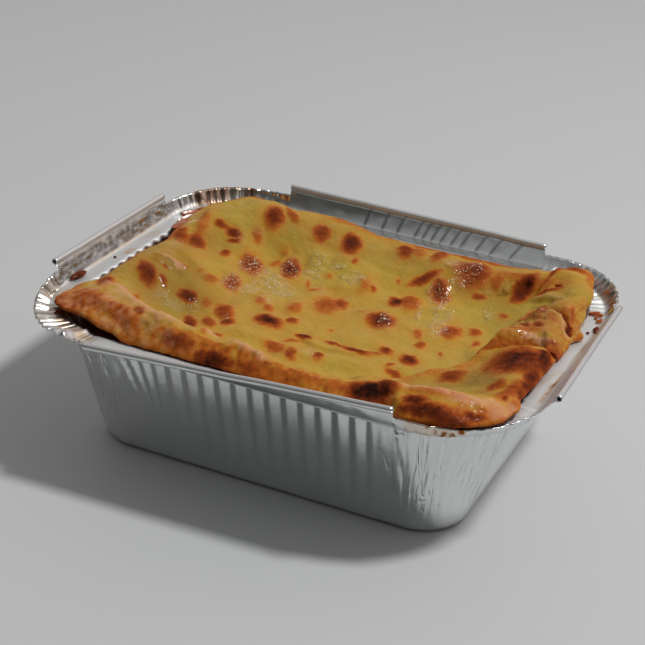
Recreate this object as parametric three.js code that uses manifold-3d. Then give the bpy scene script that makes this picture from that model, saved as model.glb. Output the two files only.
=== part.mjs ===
// A portion of gratinated lasagne in its fluted aluminium foil tray.
// Millimetres, +Z up. The origin is the middle of the tray's flat base, on the surface that it
// stands on. X runs along the long sides, and the front of the tray faces -Y.

import * as THREE from "three";
import { mergeVertices } from "three/addons/utils/BufferGeometryUtils.js";
import Module from "manifold-3d";

const wasm = await Module();
wasm.setup();

// ---------------------------------------------------------------- driving dimensions

const TRAY_LENGTH = 147; // over the outer edge of the flat ledge
const TRAY_WIDTH = 121;
const LEDGE_HEIGHT = 40.5; // top of the ledge above the table
const LEDGE_WIDTH = 5.3;
const LEDGE_CORNER_RADIUS = 29; // at the ledge's outer edge
const BASE_INSET = 11.4; // how far the sloping wall comes in from the ledge's inner edge
const BASE_CORNER_RADIUS = 13.7;
const FOIL = 0.5; // wall of the solid, which stands in for foil of about 0.1 mm
const BASE_EDGE = 1.8; // bevel between base and wall
const FOLD_MITRE = 0.7; // share of the foil's thickness that the inner skin moves in at a crease

const FLUTE_PITCH = 5; // from one flute of the wall to the next
const FLUTE_DEPTH = 0.55; // either side of the mean wall, at the top
const PLEAT_DEPTH = 0.4;
const PLEATS_PER_CORNER = 7;
// Rings of the wall: share of its height, and share of the flutes' depth there.
const WALL_RINGS = [
  { share: 0.045, folded: 0 },
  { share: 0.4, folded: 0.25 },
  { share: 0.96, folded: 1 },
];

const FLANGE_WIDTH = 6.8; // upright strip between the ledge and the rolled bead
const BEAD_RADIUS = 1.0;
const BEAD_BORE = 0.6; // radius of the open middle of the roll
const BEAD_LIFT = 0.8; // from the end of the strip to the middle of the roll
const BEAD_SIDES = 12;
const RIM_DROP = 0.72; // a corner's plain rim against the strip that it runs out of

// How far each straight flange leans out from upright, in degrees, at its two ends in the order
// in which the rim runs: right side, back, left side, front, anticlockwise from above.
const FLANGE_LEANS = [
  [46.3, 38.4],
  [45, 23.8],
  [21.5, 29],
  [59.9, 23.4],
];
// The pleated rim in the middle of each corner: lean in degrees and width in millimetres.
const CORNER_RIMS = [
  { lean: 42, width: 6.2 }, // back right
  { lean: 34, width: 5.5 }, // back left
  { lean: 80, width: 4.4 }, // front left, bent out flat
  { lean: 18, width: 2.3 }, // front right, pressed low under the food
];

const SHEET_RINGS = 16; // rings of quads from the middle of the top sheet to its edge
const SHEET_FLOOR = 36.9; // lowest part of the sunken middle
const SHEET_THICKNESS = 3;
const LIP_THICKNESS = 1.2;
const LIP_TAPER = 9; // distance over which the sheet thickens from its lip
const LIP_UNDERCUT = 0.996; // the lip's lower edge, as a share of the way out to the upper one
const UNDERSIDE_REACH = 0.975; // the same for the outer ring of the underside
const RELIEF_FADE = 6; // rises and hollows grow from nothing over this distance from the edge
const LEDGE_CLEARANCE = 0.45;
const WALL_MARGIN = 1.5; // what lies this far inside the ledge's inner edge clears the wall
const SHEET_CLEARANCE = 1.7; // between the top sheet and the filling under it
const FLAP_CLEARANCE = 0.7; // between the side flap and the sheet that it lies on
const FILLING_INSET = 2.1; // from the tray's wall to the side of the filling, at its top
const FILLING_WALL_GAP = 1.75; // the same near the base
const FILLING_FOOT = { share: 0.06, z: 3 }; // share of the wall's height, and height, above the bevel
const FILLING_BELOW_LEDGE = 1; // the filling stays this far under the ledge
const BASE_GAP = 0.35;

// The edge of the top sheet. `at` runs anticlockwise round the tray from the middle of the right
// side: 2 is the middle of the back, 4 of the left side and 6 of the front, and odd numbers are
// corners. `reach` is how far the edge goes past the ledge's inner edge. `lip` and `crest` are
// heights over the ledge, `inset` is from the edge in to the crest, and `slope` from there to
// the sunken middle.
const SHEET_EDGE = [
  { at: 0.0, reach: -1.8, lip: 0.5, crest: 1.1, inset: 4, slope: 15 }, // under the side flap
  { at: 0.55, reach: -1.8, lip: 0.9, crest: 1.6, inset: 4, slope: 15 },
  { at: 0.84, reach: 1.2, lip: 5.0, crest: 5.6, inset: 4, slope: 16 }, // raised back corner
  { at: 1.05, reach: 4.6, lip: 5.6, crest: 6.2, inset: 5, slope: 18 },
  { at: 1.14, reach: -1.0, lip: 3.4, crest: 3.8, inset: 5, slope: 22 },
  { at: 1.25, reach: -0.5, lip: 1.7, crest: 2.2, inset: 5, slope: 30 },
  { at: 1.42, reach: -1.8, lip: 0.7, crest: 1.4, inset: 5, slope: 34 },
  { at: 1.8, reach: -2.2, lip: 0.5, crest: 1.3, inset: 5, slope: 36 }, // back edge
  { at: 2.12, reach: -1.8, lip: 1.0, crest: 1.8, inset: 5, slope: 38 },
  { at: 2.38, reach: -0.3, lip: 3.2, crest: 4.0, inset: 5, slope: 40 },
  { at: 2.64, reach: -1.8, lip: 3.2, crest: 4.3, inset: 5, slope: 40 },
  { at: 2.86, reach: -1.0, lip: 4.7, crest: 5.5, inset: 6, slope: 40 }, // raised left corner
  { at: 3.06, reach: -0.6, lip: 2.8, crest: 4.0, inset: 6, slope: 38 },
  { at: 3.42, reach: -1.7, lip: 0.7, crest: 2.0, inset: 6, slope: 34 },
  { at: 3.74, reach: -3.3, lip: 0.3, crest: 1.6, inset: 5, slope: 32 },
  { at: 4.0, reach: -1.8, lip: 0.6, crest: 2.2, inset: 6, slope: 32 }, // left edge
  { at: 4.56, reach: -2.8, lip: 1.2, crest: 3.2, inset: 7, slope: 30 },
  { at: 4.74, reach: -0.8, lip: 3.0, crest: 5.0, inset: 10, slope: 26 },
  { at: 4.93, reach: 3.4, lip: 3.4, crest: 6.6, inset: 15, slope: 22 }, // tip of the lifted corner
  { at: 5.15, reach: -0.8, lip: 3.9, crest: 7.4, inset: 12, slope: 20 },
  { at: 5.31, reach: 0.2, lip: 3.2, crest: 7.6, inset: 10, slope: 18 },
  { at: 5.4, reach: 0.9, lip: 1.5, crest: 7.5, inset: 8, slope: 17 }, // thick front crust
  { at: 5.62, reach: 0.7, lip: 1.5, crest: 7.0, inset: 5.5, slope: 16 },
  { at: 5.8, reach: 0.6, lip: 1.5, crest: 5.8, inset: 5, slope: 16 },
  { at: 6.25, reach: 1.1, lip: 1.5, crest: 4.9, inset: 4.5, slope: 16 },
  { at: 6.46, reach: 0.2, lip: 1.4, crest: 4.2, inset: 5, slope: 18 }, // burnt notch
  { at: 6.6, reach: 0.6, lip: 2.0, crest: 5.2, inset: 7, slope: 22 },
  { at: 6.75, reach: 4.8, lip: 3.9, crest: 7.3, inset: 9, slope: 24 },
  { at: 6.9, reach: 6.4, lip: 4.4, crest: 8.2, inset: 9, slope: 25 }, // overhanging corner
  { at: 7.06, reach: 6.2, lip: 4.1, crest: 7.4, inset: 9, slope: 24 },
  { at: 7.2, reach: 3.4, lip: 3.3, crest: 5.4, inset: 7, slope: 22 },
  { at: 7.38, reach: 0.6, lip: 2.4, crest: 3.6, inset: 5, slope: 20 },
  { at: 7.8, reach: 0.2, lip: 2.0, crest: 2.8, inset: 4, slope: 18 },
];

// Rises and hollows of the top sheet: middle, half lengths along and across, turn in degrees
// from X, and height.
const SHEET_RELIEF = [
  { x: -57, y: -8, long: 13, wide: 7, turn: 62, rise: 2.2 }, // fold along the left side
  { x: -50, y: 2, long: 10, wide: 2.6, turn: -22, rise: 1.6 },
  { x: -50, y: 34, long: 14, wide: 9, turn: 40, rise: 1.6 },
  { x: -38, y: -22, long: 9, wide: 4, turn: -35, rise: -1.4 },
  { x: 20, y: 40, long: 16, wide: 7, turn: -8, rise: 1.7 }, // browned rise near the back edge
  { x: 44, y: 40, long: 7, wide: 9, turn: 15, rise: 1.0 },
  { x: 30, y: 22, long: 12, wide: 5, turn: 20, rise: 0.9 },
  { x: -22, y: 30, long: 8, wide: 6, turn: 0, rise: 1.1 },
  { x: -8, y: -26, long: 18, wide: 2.6, turn: -6, rise: 1.1 }, // browned fold over the middle
  { x: 48, y: -31, long: 8, wide: 4, turn: 12, rise: 1.5 },
  { x: 58, y: -34, long: 9, wide: 4, turn: 14, rise: -1.8 }, // trough behind the corner's crest
  { x: 60, y: -17, long: 8, wide: 6, turn: 0, rise: 0.9 }, // burnt mound
  { x: 34, y: -30, long: 9, wide: 4, turn: -40, rise: -0.8 },
];

// Outline of the side flap, anticlockwise from its front left corner.
const FLAP_EDGE = [
  { x: 48, y: -7.2 },
  { x: 55, y: -4.6 },
  { x: 62, y: -2.4 },
  { x: 69, y: -2.6 },
  { x: 70.1, y: 5 },
  { x: 70, y: 11.5 },
  { x: 71.9, y: 16 }, // small pointed tip over the ledge
  { x: 69.4, y: 20.5 },
  { x: 68.6, y: 30 },
  { x: 66.2, y: 36.4 },
  { x: 57.5, y: 34.5 },
  { x: 52.2, y: 27.5 },
  { x: 51.2, y: 13 },
  { x: 48.4, y: -1.5 },
];
const FLAP_MIDDLE = { x: 60.5, y: 14 };
const FLAP_SHEET_SHARE = 1.01; // past this share of the way out the flap lies on the ledge
const FLAP_RINGS = 7;
const FLAP_SIDES = 48;
const FLAP_EDGE_THICKNESS = 0.9;
const FLAP_THICKNESS = 3.6; // over most of the flap
const FLAP_SHOULDER = 7; // how far in from its edge the flap reaches that
const FLAP_ROLL = { x: 61, y: 1.5, long: 12, wide: 4, turn: 10, rise: 1.6 }; // rolled front edge
const FLAP_ROLL_FADE = 4; // the roll grows over this distance from the flap's edge
// Crack that curves through the flap, on an arc: only the part past startX and startY shows.
const FLAP_CRACK = { radius: 15, x: 52, y: 14, startX: 57, startY: 13, depth: 2.2, width: 1.6 };
const CRACK_MARGIN = 1.5; // whole rim between the crack and the flap's edge

// Hollow in the filling under the lifted front left corner of the top sheet.
const FILLING_CAVITY = { x: -48, y: -45, long: 16, wide: 9, turn: -35, rise: -4.5 };

const COLOURS = {
  foil: 0xb9bcbd,
  filling: 0x4a2412,
  sheet: 0xc9a243,
  flap: 0xbf8a3c,
};

// ---------------------------------------------------------------- helpers

const lerp = THREE.MathUtils.lerp;
const smooth = (t) => THREE.MathUtils.smoothstep(t, 0, 1);
const radians = THREE.MathUtils.degToRad;

const ledgeOuter = {
  halfX: TRAY_LENGTH / 2,
  halfY: TRAY_WIDTH / 2,
  radius: LEDGE_CORNER_RADIUS,
};
const ledgeInner = insetBy(ledgeOuter, LEDGE_WIDTH);
const base = {
  halfX: ledgeInner.halfX - BASE_INSET,
  halfY: ledgeInner.halfY - BASE_INSET,
  radius: BASE_CORNER_RADIUS,
};

function insetBy(rect, distance) {
  return {
    halfX: rect.halfX - distance,
    halfY: rect.halfY - distance,
    radius: rect.radius - distance,
  };
}

// The wall's rounded rectangle at a share of its height, 0 at the base and 1 at the ledge.
function wallRect(share) {
  return {
    halfX: lerp(base.halfX, ledgeInner.halfX, share),
    halfY: lerp(base.halfY, ledgeInner.halfY, share),
    radius: lerp(base.radius, ledgeInner.radius, share),
  };
}

// The point of a rounded rectangle at place `at` (0 to 8, as for SHEET_EDGE), moved outwards.
function rectPoint(rect, at, outwards) {
  const quadrant = Math.floor(at / 2);
  const place = at - 2 * quadrant;
  const turned = quadrant % 2 === 1;
  const reach1 = (turned ? rect.halfY : rect.halfX) - rect.radius;
  const reach2 = (turned ? rect.halfX : rect.halfY) - rect.radius;
  const eighth = (rect.radius * Math.PI) / 4;
  let along1 = reach1;
  let along2 = reach2;
  let turn;
  if (place < 1) {
    const travelled = place * (reach2 + eighth);
    along2 = Math.min(travelled, reach2);
    turn = Math.max(travelled - reach2, 0) / rect.radius;
  } else {
    const travelled = (2 - place) * (reach1 + eighth);
    along1 = Math.min(travelled, reach1);
    turn = Math.PI / 2 - Math.max(travelled - reach1, 0) / rect.radius;
  }
  const radius = rect.radius + outwards;
  const local = new THREE.Vector2(
    along1 + radius * Math.cos(turn),
    along2 + radius * Math.sin(turn),
  );
  return local.rotateAround(new THREE.Vector2(), (quadrant * Math.PI) / 2);
}

// A closed geometry from points and the faces that join them, each a list of three or more
// point numbers, anticlockwise from outside.
function solidGeometry(points, faces) {
  const index = [];
  for (const face of faces)
    for (let i = 1; i + 1 < face.length; i++) index.push(face[0], face[i], face[i + 1]);
  const positions = points.flatMap((p) => [p.x, p.y, p.z]);
  const geometry = new THREE.BufferGeometry();
  geometry.setAttribute("position", new THREE.Float32BufferAttribute(positions, 3));
  geometry.setIndex(index);
  return geometry;
}

// Faces of the band between two rings of point numbers, the second one further on.
function bandFaces(ring, next) {
  return ring.flatMap((point, i) => {
    const j = (i + 1) % ring.length;
    return [
      [point, ring[j], next[j]],
      [point, next[j], next[i]],
    ];
  });
}

function fanFaces(middle, ring) {
  return ring.map((point, i) => [middle, point, ring[(i + 1) % ring.length]]);
}

function toManifold(geometry) {
  const bare = geometry.clone();
  bare.deleteAttribute("normal");
  bare.deleteAttribute("uv");
  const merged = mergeVertices(bare, 1e-4);
  return new wasm.Manifold(
    new wasm.Mesh({
      numProp: 3,
      vertProperties: new Float32Array(merged.attributes.position.array),
      triVerts: new Uint32Array(merged.index.array),
    }),
  );
}

function fromManifold(solid) {
  const mesh = solid.getMesh();
  const geometry = new THREE.BufferGeometry();
  geometry.setAttribute("position", new THREE.BufferAttribute(mesh.vertProperties, 3));
  geometry.setIndex(new THREE.BufferAttribute(mesh.triVerts, 1));
  geometry.computeVertexNormals();
  return geometry;
}

// ---------------------------------------------------------------- foil tray

// Places round the tray where its folds turn, each with the centre of its corner arc as signs
// (side, along), its outward direction, its fold (1 out, -1 in) and its place on the rim.
function trayStations() {
  const stations = [];
  for (let side = 0; side < 4; side++) {
    const facing = (side * Math.PI) / 2;
    const half = (side % 2 ? ledgeOuter.halfX : ledgeOuter.halfY) - ledgeOuter.radius;
    const folds = 2 * Math.round((2 * half) / FLUTE_PITCH);
    for (let i = 0; i <= folds; i++) {
      const along = (2 * i) / folds - 1;
      const fold = i === 0 || i === folds ? 0 : i % 2 ? 1 : -1;
      stations.push({ facing, side, along, turn: 0, fold, depth: FLUTE_DEPTH });
    }
    for (let i = 1; i < 2 * PLEATS_PER_CORNER; i++) {
      const turn = (i / (2 * PLEATS_PER_CORNER)) * (Math.PI / 2);
      const fold = i % 2 ? 1 : -1;
      stations.push({ facing, side, along: 1, turn, fold, depth: PLEAT_DEPTH });
    }
  }
  return stations;
}

// The point of the wall or ledge at a station, on rounded rectangle `rect`, moved outwards.
function stationPoint(station, rect, outwards, z) {
  const swapped = station.side % 2 === 1;
  const out = (swapped ? rect.halfY : rect.halfX) - rect.radius;
  const across = (swapped ? rect.halfX : rect.halfY) - rect.radius;
  const radius = rect.radius + outwards;
  const local = new THREE.Vector2(
    out + radius * Math.cos(station.turn),
    station.along * across + radius * Math.sin(station.turn),
  );
  local.rotateAround(new THREE.Vector2(), station.facing);
  return new THREE.Vector3(local.x, local.y, z);
}

// How far the top of the flange or rim stands outwards and up from the ledge's edge.
function rimOffset(station) {
  const stands = (lean, width) => ({
    out: width * Math.sin(radians(lean)),
    up: width * Math.cos(radians(lean)),
  });
  const mix = (a, b, t) => ({ out: lerp(a.out, b.out, t), up: lerp(a.up, b.up, t) });
  const [startLean, endLean] = FLANGE_LEANS[station.side];
  if (station.turn === 0) {
    const share = (station.along + 1) / 2;
    return mix(stands(startLean, FLANGE_WIDTH), stands(endLean, FLANGE_WIDTH), share);
  }
  const nextLean = FLANGE_LEANS[(station.side + 1) % 4][0];
  const corner = CORNER_RIMS[station.side];
  const middle = stands(corner.lean, corner.width);
  const share = station.turn / (Math.PI / 4);
  if (share < 1) return mix(stands(endLean, FLANGE_WIDTH * RIM_DROP), middle, smooth(share));
  return mix(middle, stands(nextLean, FLANGE_WIDTH * RIM_DROP), smooth(share - 1));
}

// One skin of the tray as rings of points, from the base out to the top of the rim. The inner
// skin has `inner` set, and lies FOIL inside the outer one.
function traySkin(stations, inner) {
  const thick = inner ? FOIL : 0;
  const ledgeZ = LEDGE_HEIGHT - FOIL + thick;
  const baseRing = stations.map((s) =>
    stationPoint(s, insetBy(wallRect(0), BASE_EDGE), 0, thick),
  );
  const wallRings = WALL_RINGS.map(({ share, folded }) =>
    stations.map((s) => {
      const outwards = s.fold * s.depth * folded - thick;
      return stationPoint(s, wallRect(share), outwards, share * (LEDGE_HEIGHT - FOIL));
    }),
  );
  const ledgeInnerRing = stations.map((s) =>
    stationPoint(s, ledgeInner, s.fold * s.depth - thick, ledgeZ),
  );
  const ledgeOuterRing = stations.map((s) =>
    stationPoint(s, ledgeOuter, -FOLD_MITRE * thick, ledgeZ),
  );
  const rimRing = stations.map((s) => {
    const rim = rimOffset(s);
    const lean = Math.atan2(rim.out, rim.up);
    const pleat = s.turn > 0 ? s.fold * PLEAT_DEPTH : 0;
    const outwards = rim.out + pleat - thick * Math.cos(lean);
    const z = LEDGE_HEIGHT - FOIL + rim.up + thick * Math.sin(lean);
    return stationPoint(s, ledgeOuter, outwards, z);
  });
  return [baseRing, ...wallRings, ledgeInnerRing, ledgeOuterRing, rimRing];
}

// The bead of one straight flange: a tube with open ends along the top of the strip.
function beadGeometry(side, stations) {
  const straight = stations.filter((s) => s.side === side && s.turn === 0);
  const [first, last] = [straight[0], straight[straight.length - 1]];
  const ends = [first, last].map((s) => {
    const rim = rimOffset(s);
    const grow = (FLANGE_WIDTH + BEAD_LIFT) / FLANGE_WIDTH;
    const z = LEDGE_HEIGHT - FOIL / 2 + rim.up * grow;
    return stationPoint(s, ledgeOuter, rim.out * grow - FOIL / 2, z);
  });
  const ring = new THREE.Shape();
  ring.absarc(0, 0, BEAD_RADIUS, 0, 2 * Math.PI);
  const bore = new THREE.Path();
  bore.absarc(0, 0, BEAD_BORE, 0, 2 * Math.PI, true);
  ring.holes.push(bore);
  return new THREE.ExtrudeGeometry(ring, {
    steps: 1,
    curveSegments: BEAD_SIDES,
    bevelEnabled: false,
    extrudePath: new THREE.LineCurve3(ends[0], ends[1]),
  });
}

function trayGeometry() {
  const stations = trayStations();
  const outer = traySkin(stations, false);
  const inner = traySkin(stations, true);
  const points = [...outer, ...inner].flat();
  const ring = (k) => stations.map((_, i) => k * stations.length + i);
  const faces = [];
  const last = outer.length - 1;
  for (let k = 0; k < last; k++) {
    faces.push(...bandFaces(ring(k), ring(k + 1)));
    faces.push(...bandFaces(ring(outer.length + k + 1), ring(outer.length + k)));
  }
  faces.push(...bandFaces(ring(last), ring(outer.length + last)));
  points.push(new THREE.Vector3(0, 0, 0), new THREE.Vector3(0, 0, FOIL));
  faces.push(...fanFaces(points.length - 2, [...ring(0)].reverse()));
  faces.push(...fanFaces(points.length - 1, ring(outer.length)));
  let tray = toManifold(solidGeometry(points, faces));
  for (let side = 0; side < 4; side++) tray = tray.add(toManifold(beadGeometry(side, stations)));
  return fromManifold(tray);
}

// ---------------------------------------------------------------- food surfaces

// The sheet's edge sizes at any place round the tray, smooth between the listed ones.
function edgeAt(at) {
  const count = SHEET_EDGE.length;
  let i = SHEET_EDGE.findIndex((entry) => entry.at > at);
  if (i < 0) i = count;
  const from = SHEET_EDGE[i - 1];
  const to = SHEET_EDGE[i % count];
  const span = (i === count ? to.at + 8 : to.at) - from.at;
  const share = smooth((at - from.at) / span);
  const mixed = (key) => lerp(from[key], to[key], share);
  return {
    reach: mixed("reach"),
    lip: mixed("lip"),
    crest: mixed("crest"),
    inset: mixed("inset"),
    slope: mixed("slope"),
  };
}

// Height that one rise or hollow adds at a point.
function reliefAt(spot, x, y) {
  const turn = radians(spot.turn);
  const dx = x - spot.x;
  const dy = y - spot.y;
  const along = (dx * Math.cos(turn) + dy * Math.sin(turn)) / spot.long;
  const across = (dy * Math.cos(turn) - dx * Math.sin(turn)) / spot.wide;
  return spot.rise * Math.exp(-(along * along + across * across));
}

// Top of the sheet at a share of the way from the middle to the edge at place `at`.
function sheetPoint(share, at) {
  const edge = edgeAt(at);
  const outline = rectPoint(ledgeInner, at, edge.reach);
  const x = outline.x * share;
  const y = outline.y * share;
  const inwards = (1 - share) * outline.length();
  let z;
  if (inwards < edge.inset) {
    const rise = Math.sin(((inwards / edge.inset) * Math.PI) / 2);
    z = LEDGE_HEIGHT + lerp(edge.lip, edge.crest, rise);
  } else {
    const fall = smooth(Math.min((inwards - edge.inset) / edge.slope, 1));
    z = lerp(LEDGE_HEIGHT + edge.crest, SHEET_FLOOR, fall);
  }
  const fade = smooth(Math.min(inwards / RELIEF_FADE, 1));
  for (const spot of SHEET_RELIEF) z += fade * reliefAt(spot, x, y);
  return new THREE.Vector3(x, y, z);
}

// The same height at a point given by x and y.
function sheetHeight(x, y) {
  const { at, share } = sheetPlace(x, y);
  return sheetPoint(Math.min(share, 1), at).z;
}

// Place round the tray and share of the way out of a point, found by bisection on the angle.
function sheetPlace(x, y) {
  const angle = (Math.atan2(y, x) + 2 * Math.PI) % (2 * Math.PI);
  let low = 0;
  let high = 8;
  for (let i = 0; i < 30; i++) {
    const middle = (low + high) / 2;
    const p = rectPoint(ledgeInner, middle, edgeAt(middle).reach);
    const there = middle === 0 ? 0 : (Math.atan2(p.y, p.x) + 2 * Math.PI) % (2 * Math.PI);
    if (there < angle) low = middle;
    else high = middle;
  }
  const outline = rectPoint(ledgeInner, low, edgeAt(low).reach);
  return { at: low, share: Math.hypot(x, y) / outline.length() };
}

// A square net of points pulled out to a rounded outline: `place(share, at)` gives the point,
// with `rings` rings of quads round the middle. Returns the points, row by row.
function netPoints(rings, place) {
  const points = [];
  for (let j = -rings; j <= rings; j++)
    for (let i = -rings; i <= rings; i++) {
      const ring = Math.max(Math.abs(i), Math.abs(j));
      let at = 0;
      if (ring > 0) {
        if (i === ring) at = j / ring;
        else if (j === ring) at = 2 - i / ring;
        else if (i === -ring) at = 4 - j / ring;
        else at = 6 + i / ring;
      }
      points.push(place(ring / rings, (at + 8) % 8));
    }
  return points;
}

// Faces of such a net, facing up, starting at point number `start`. Each quad is cut along the
// diagonal that runs towards the middle.
function netFaces(rings, start) {
  const across = 2 * rings + 1;
  const faces = [];
  for (let j = 0; j < 2 * rings; j++)
    for (let i = 0; i < 2 * rings; i++) {
      const a = start + j * across + i;
      const [b, c, d] = [a + 1, a + across + 1, a + across];
      if (i < rings === j < rings) faces.push([a, b, c], [a, c, d]);
      else faces.push([a, b, d], [b, c, d]);
    }
  return faces;
}

// Point numbers of the outer ring of a net, anticlockwise from its middle right.
function netEdge(rings, start) {
  const across = 2 * rings + 1;
  const edge = [];
  for (let k = 0; k < 8 * rings; k++) {
    const at = k / rings;
    const step = k % rings;
    let i;
    let j;
    if (at < 1) [i, j] = [rings, step];
    else if (at < 3) [i, j] = [rings - (k - rings), rings];
    else if (at < 5) [i, j] = [-rings, rings - (k - 3 * rings)];
    else if (at < 7) [i, j] = [k - 5 * rings - rings, -rings];
    else [i, j] = [rings, k - 7 * rings - rings];
    edge.push(start + (j + rings) * across + (i + rings));
  }
  return edge;
}

const reversed = (faces) => faces.map((face) => [...face].reverse());

// How thick the top sheet is, in from its edge.
function sheetDepth(inwards) {
  return lerp(LIP_THICKNESS, SHEET_THICKNESS, smooth(Math.min(inwards / LIP_TAPER, 1)));
}

// The underside, which stays over the ledge where the sheet goes past the tray's inner edge.
function sheetUnderside(share, at) {
  const top = sheetPoint(share, at);
  const outline = rectPoint(ledgeInner, at, edgeAt(at).reach);
  const inwards = (1 - share) * outline.length();
  const z = top.z - sheetDepth(inwards);
  const pastWall = edgeAt(at).reach - inwards > -WALL_MARGIN;
  top.z = pastWall ? Math.max(z, LEDGE_HEIGHT + LEDGE_CLEARANCE) : z;
  return top;
}

// ---------------------------------------------------------------- food solids

function sheetGeometry() {
  const underRings = SHEET_RINGS / 2;
  const top = netPoints(SHEET_RINGS, sheetPoint);
  const under = netPoints(underRings, (share, at) => sheetUnderside(UNDERSIDE_REACH * share, at));
  const points = [...top, ...under];
  const faces = [
    ...netFaces(SHEET_RINGS, 0),
    ...reversed(netFaces(underRings, top.length)),
  ];
  // The lip's lower edge, joined to the net of the underside, which has half as many points.
  const topEdge = netEdge(SHEET_RINGS, 0);
  const underEdge = netEdge(underRings, top.length);
  const lipEdge = topEdge.map((number, k) => {
    const p = points[number];
    const { reach, lip } = edgeAt(k / SHEET_RINGS);
    const room = reach > -WALL_MARGIN ? lip - LEDGE_CLEARANCE : LIP_THICKNESS;
    const z = p.z - Math.min(LIP_THICKNESS, room);
    points.push(new THREE.Vector3(p.x * LIP_UNDERCUT, p.y * LIP_UNDERCUT, z));
    return points.length - 1;
  });
  faces.push(...bandFaces(lipEdge, topEdge));
  const count = lipEdge.length;
  underEdge.forEach((number, k) => {
    const next = underEdge[(k + 1) % underEdge.length];
    const [a, b, c] = [lipEdge[2 * k], lipEdge[(2 * k + 1) % count], lipEdge[(2 * k + 2) % count]];
    faces.push([number, b, a], [number, next, b], [next, c, b]);
  });
  return solidGeometry(points, faces);
}

// The filling: everything under the top sheet, down to the base of the tray.
function fillingGeometry() {
  const rings = SHEET_RINGS / 2;
  const heightAt = (p, share) => {
    const depth = sheetDepth((1 - share) * ledgeInner.halfY) + SHEET_CLEARANCE;
    const under = sheetHeight(p.x, p.y) - depth;
    const highest = LEDGE_HEIGHT - FILLING_BELOW_LEDGE;
    return Math.min(under, highest) + reliefAt(FILLING_CAVITY, p.x, p.y);
  };
  const top = netPoints(rings, (share, at) => {
    const wide = rectPoint(ledgeInner, at, -FILLING_INSET);
    const wallShare = heightAt(wide, 1) / LEDGE_HEIGHT;
    const p = rectPoint(wallRect(wallShare), at, -FILLING_INSET).multiplyScalar(share);
    return new THREE.Vector3(p.x, p.y, heightAt(p, share));
  });
  const points = [...top];
  const faces = netFaces(rings, 0);
  const sideRing = (share, inset, z) =>
    netEdge(rings, 0).map((_, k) => {
      const p = rectPoint(insetBy(wallRect(share), inset), k / rings, 0);
      points.push(new THREE.Vector3(p.x, p.y, z));
      return points.length - 1;
    });
  const foot = sideRing(FILLING_FOOT.share, FILLING_WALL_GAP, FILLING_FOOT.z);
  const bottom = sideRing(0, FILLING_WALL_GAP + BASE_EDGE, FOIL + BASE_GAP);
  points.push(new THREE.Vector3(0, 0, FOIL + BASE_GAP));
  faces.push(...bandFaces(foot, netEdge(rings, 0)));
  faces.push(...bandFaces(bottom, foot));
  faces.push(...fanFaces(points.length - 1, [...bottom].reverse()));
  return solidGeometry(points, faces);
}

// How deep the flap's crack is at a point, which is `inwards` from the flap's edge.
function crackDepth(x, y, inwards) {
  if (x < FLAP_CRACK.startX || y < FLAP_CRACK.startY || inwards < CRACK_MARGIN) return 0;
  const fromArc = Math.hypot(x - FLAP_CRACK.x, y - FLAP_CRACK.y) - FLAP_CRACK.radius;
  return FLAP_CRACK.depth * Math.exp(-((fromArc / FLAP_CRACK.width) ** 2));
}

// The flap that lies over the sheet along the right side.
function flapGeometry() {
  const curve = new THREE.CatmullRomCurve3(
    FLAP_EDGE.map((p) => new THREE.Vector3(p.x, p.y, 0)),
    true,
    "centripetal",
  );
  const outline = curve.getSpacedPoints(FLAP_SIDES).slice(0, FLAP_SIDES);
  const middle = FLAP_MIDDLE;
  const bottomZ = (x, y) => {
    const ledge = LEDGE_HEIGHT + LEDGE_CLEARANCE;
    const onSheet = sheetPlace(x, y).share < FLAP_SHEET_SHARE;
    return onSheet ? Math.max(sheetHeight(x, y) + FLAP_CLEARANCE, ledge) : ledge;
  };
  const topZ = (x, y, inwards) => {
    const shoulder = smooth(Math.min(inwards / FLAP_SHOULDER, 1));
    const thick = lerp(FLAP_EDGE_THICKNESS, FLAP_THICKNESS, shoulder);
    const roll = reliefAt(FLAP_ROLL, x, y) * smooth(Math.min(inwards / FLAP_ROLL_FADE, 1));
    const height = thick + roll - crackDepth(x, y, inwards);
    return bottomZ(x, y) + Math.max(height, FLAP_EDGE_THICKNESS);
  };
  const points = [];
  const rings = [];
  const under = [];
  for (let k = 1; k <= FLAP_RINGS; k++) {
    const share = k / FLAP_RINGS;
    rings.push([]);
    under.push([]);
    for (const p of outline) {
      const x = lerp(middle.x, p.x, share);
      const y = lerp(middle.y, p.y, share);
      const inwards = (1 - share) * Math.hypot(p.x - middle.x, p.y - middle.y);
      points.push(new THREE.Vector3(x, y, topZ(x, y, inwards)));
      rings[k - 1].push(points.length - 1);
      points.push(new THREE.Vector3(x, y, bottomZ(x, y)));
      under[k - 1].push(points.length - 1);
    }
  }
  points.push(new THREE.Vector3(middle.x, middle.y, topZ(middle.x, middle.y, FLAP_SHOULDER)));
  points.push(new THREE.Vector3(middle.x, middle.y, bottomZ(middle.x, middle.y)));
  const faces = fanFaces(points.length - 2, rings[0]);
  faces.push(...fanFaces(points.length - 1, [...under[0]].reverse()));
  for (let k = 0; k + 1 < FLAP_RINGS; k++) {
    faces.push(...bandFaces(rings[k + 1], rings[k]));
    faces.push(...bandFaces(under[k], under[k + 1]));
  }
  faces.push(...bandFaces(under[FLAP_RINGS - 1], rings[FLAP_RINGS - 1]));
  return solidGeometry(points, faces);
}

// ---------------------------------------------------------------- scene

function piece(name, geometry, colour, roughness, metalness) {
  const material = new THREE.MeshStandardMaterial({
    color: colour,
    roughness,
    metalness,
  });
  const mesh = new THREE.Mesh(geometry, material);
  mesh.name = name;
  return mesh;
}

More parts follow.
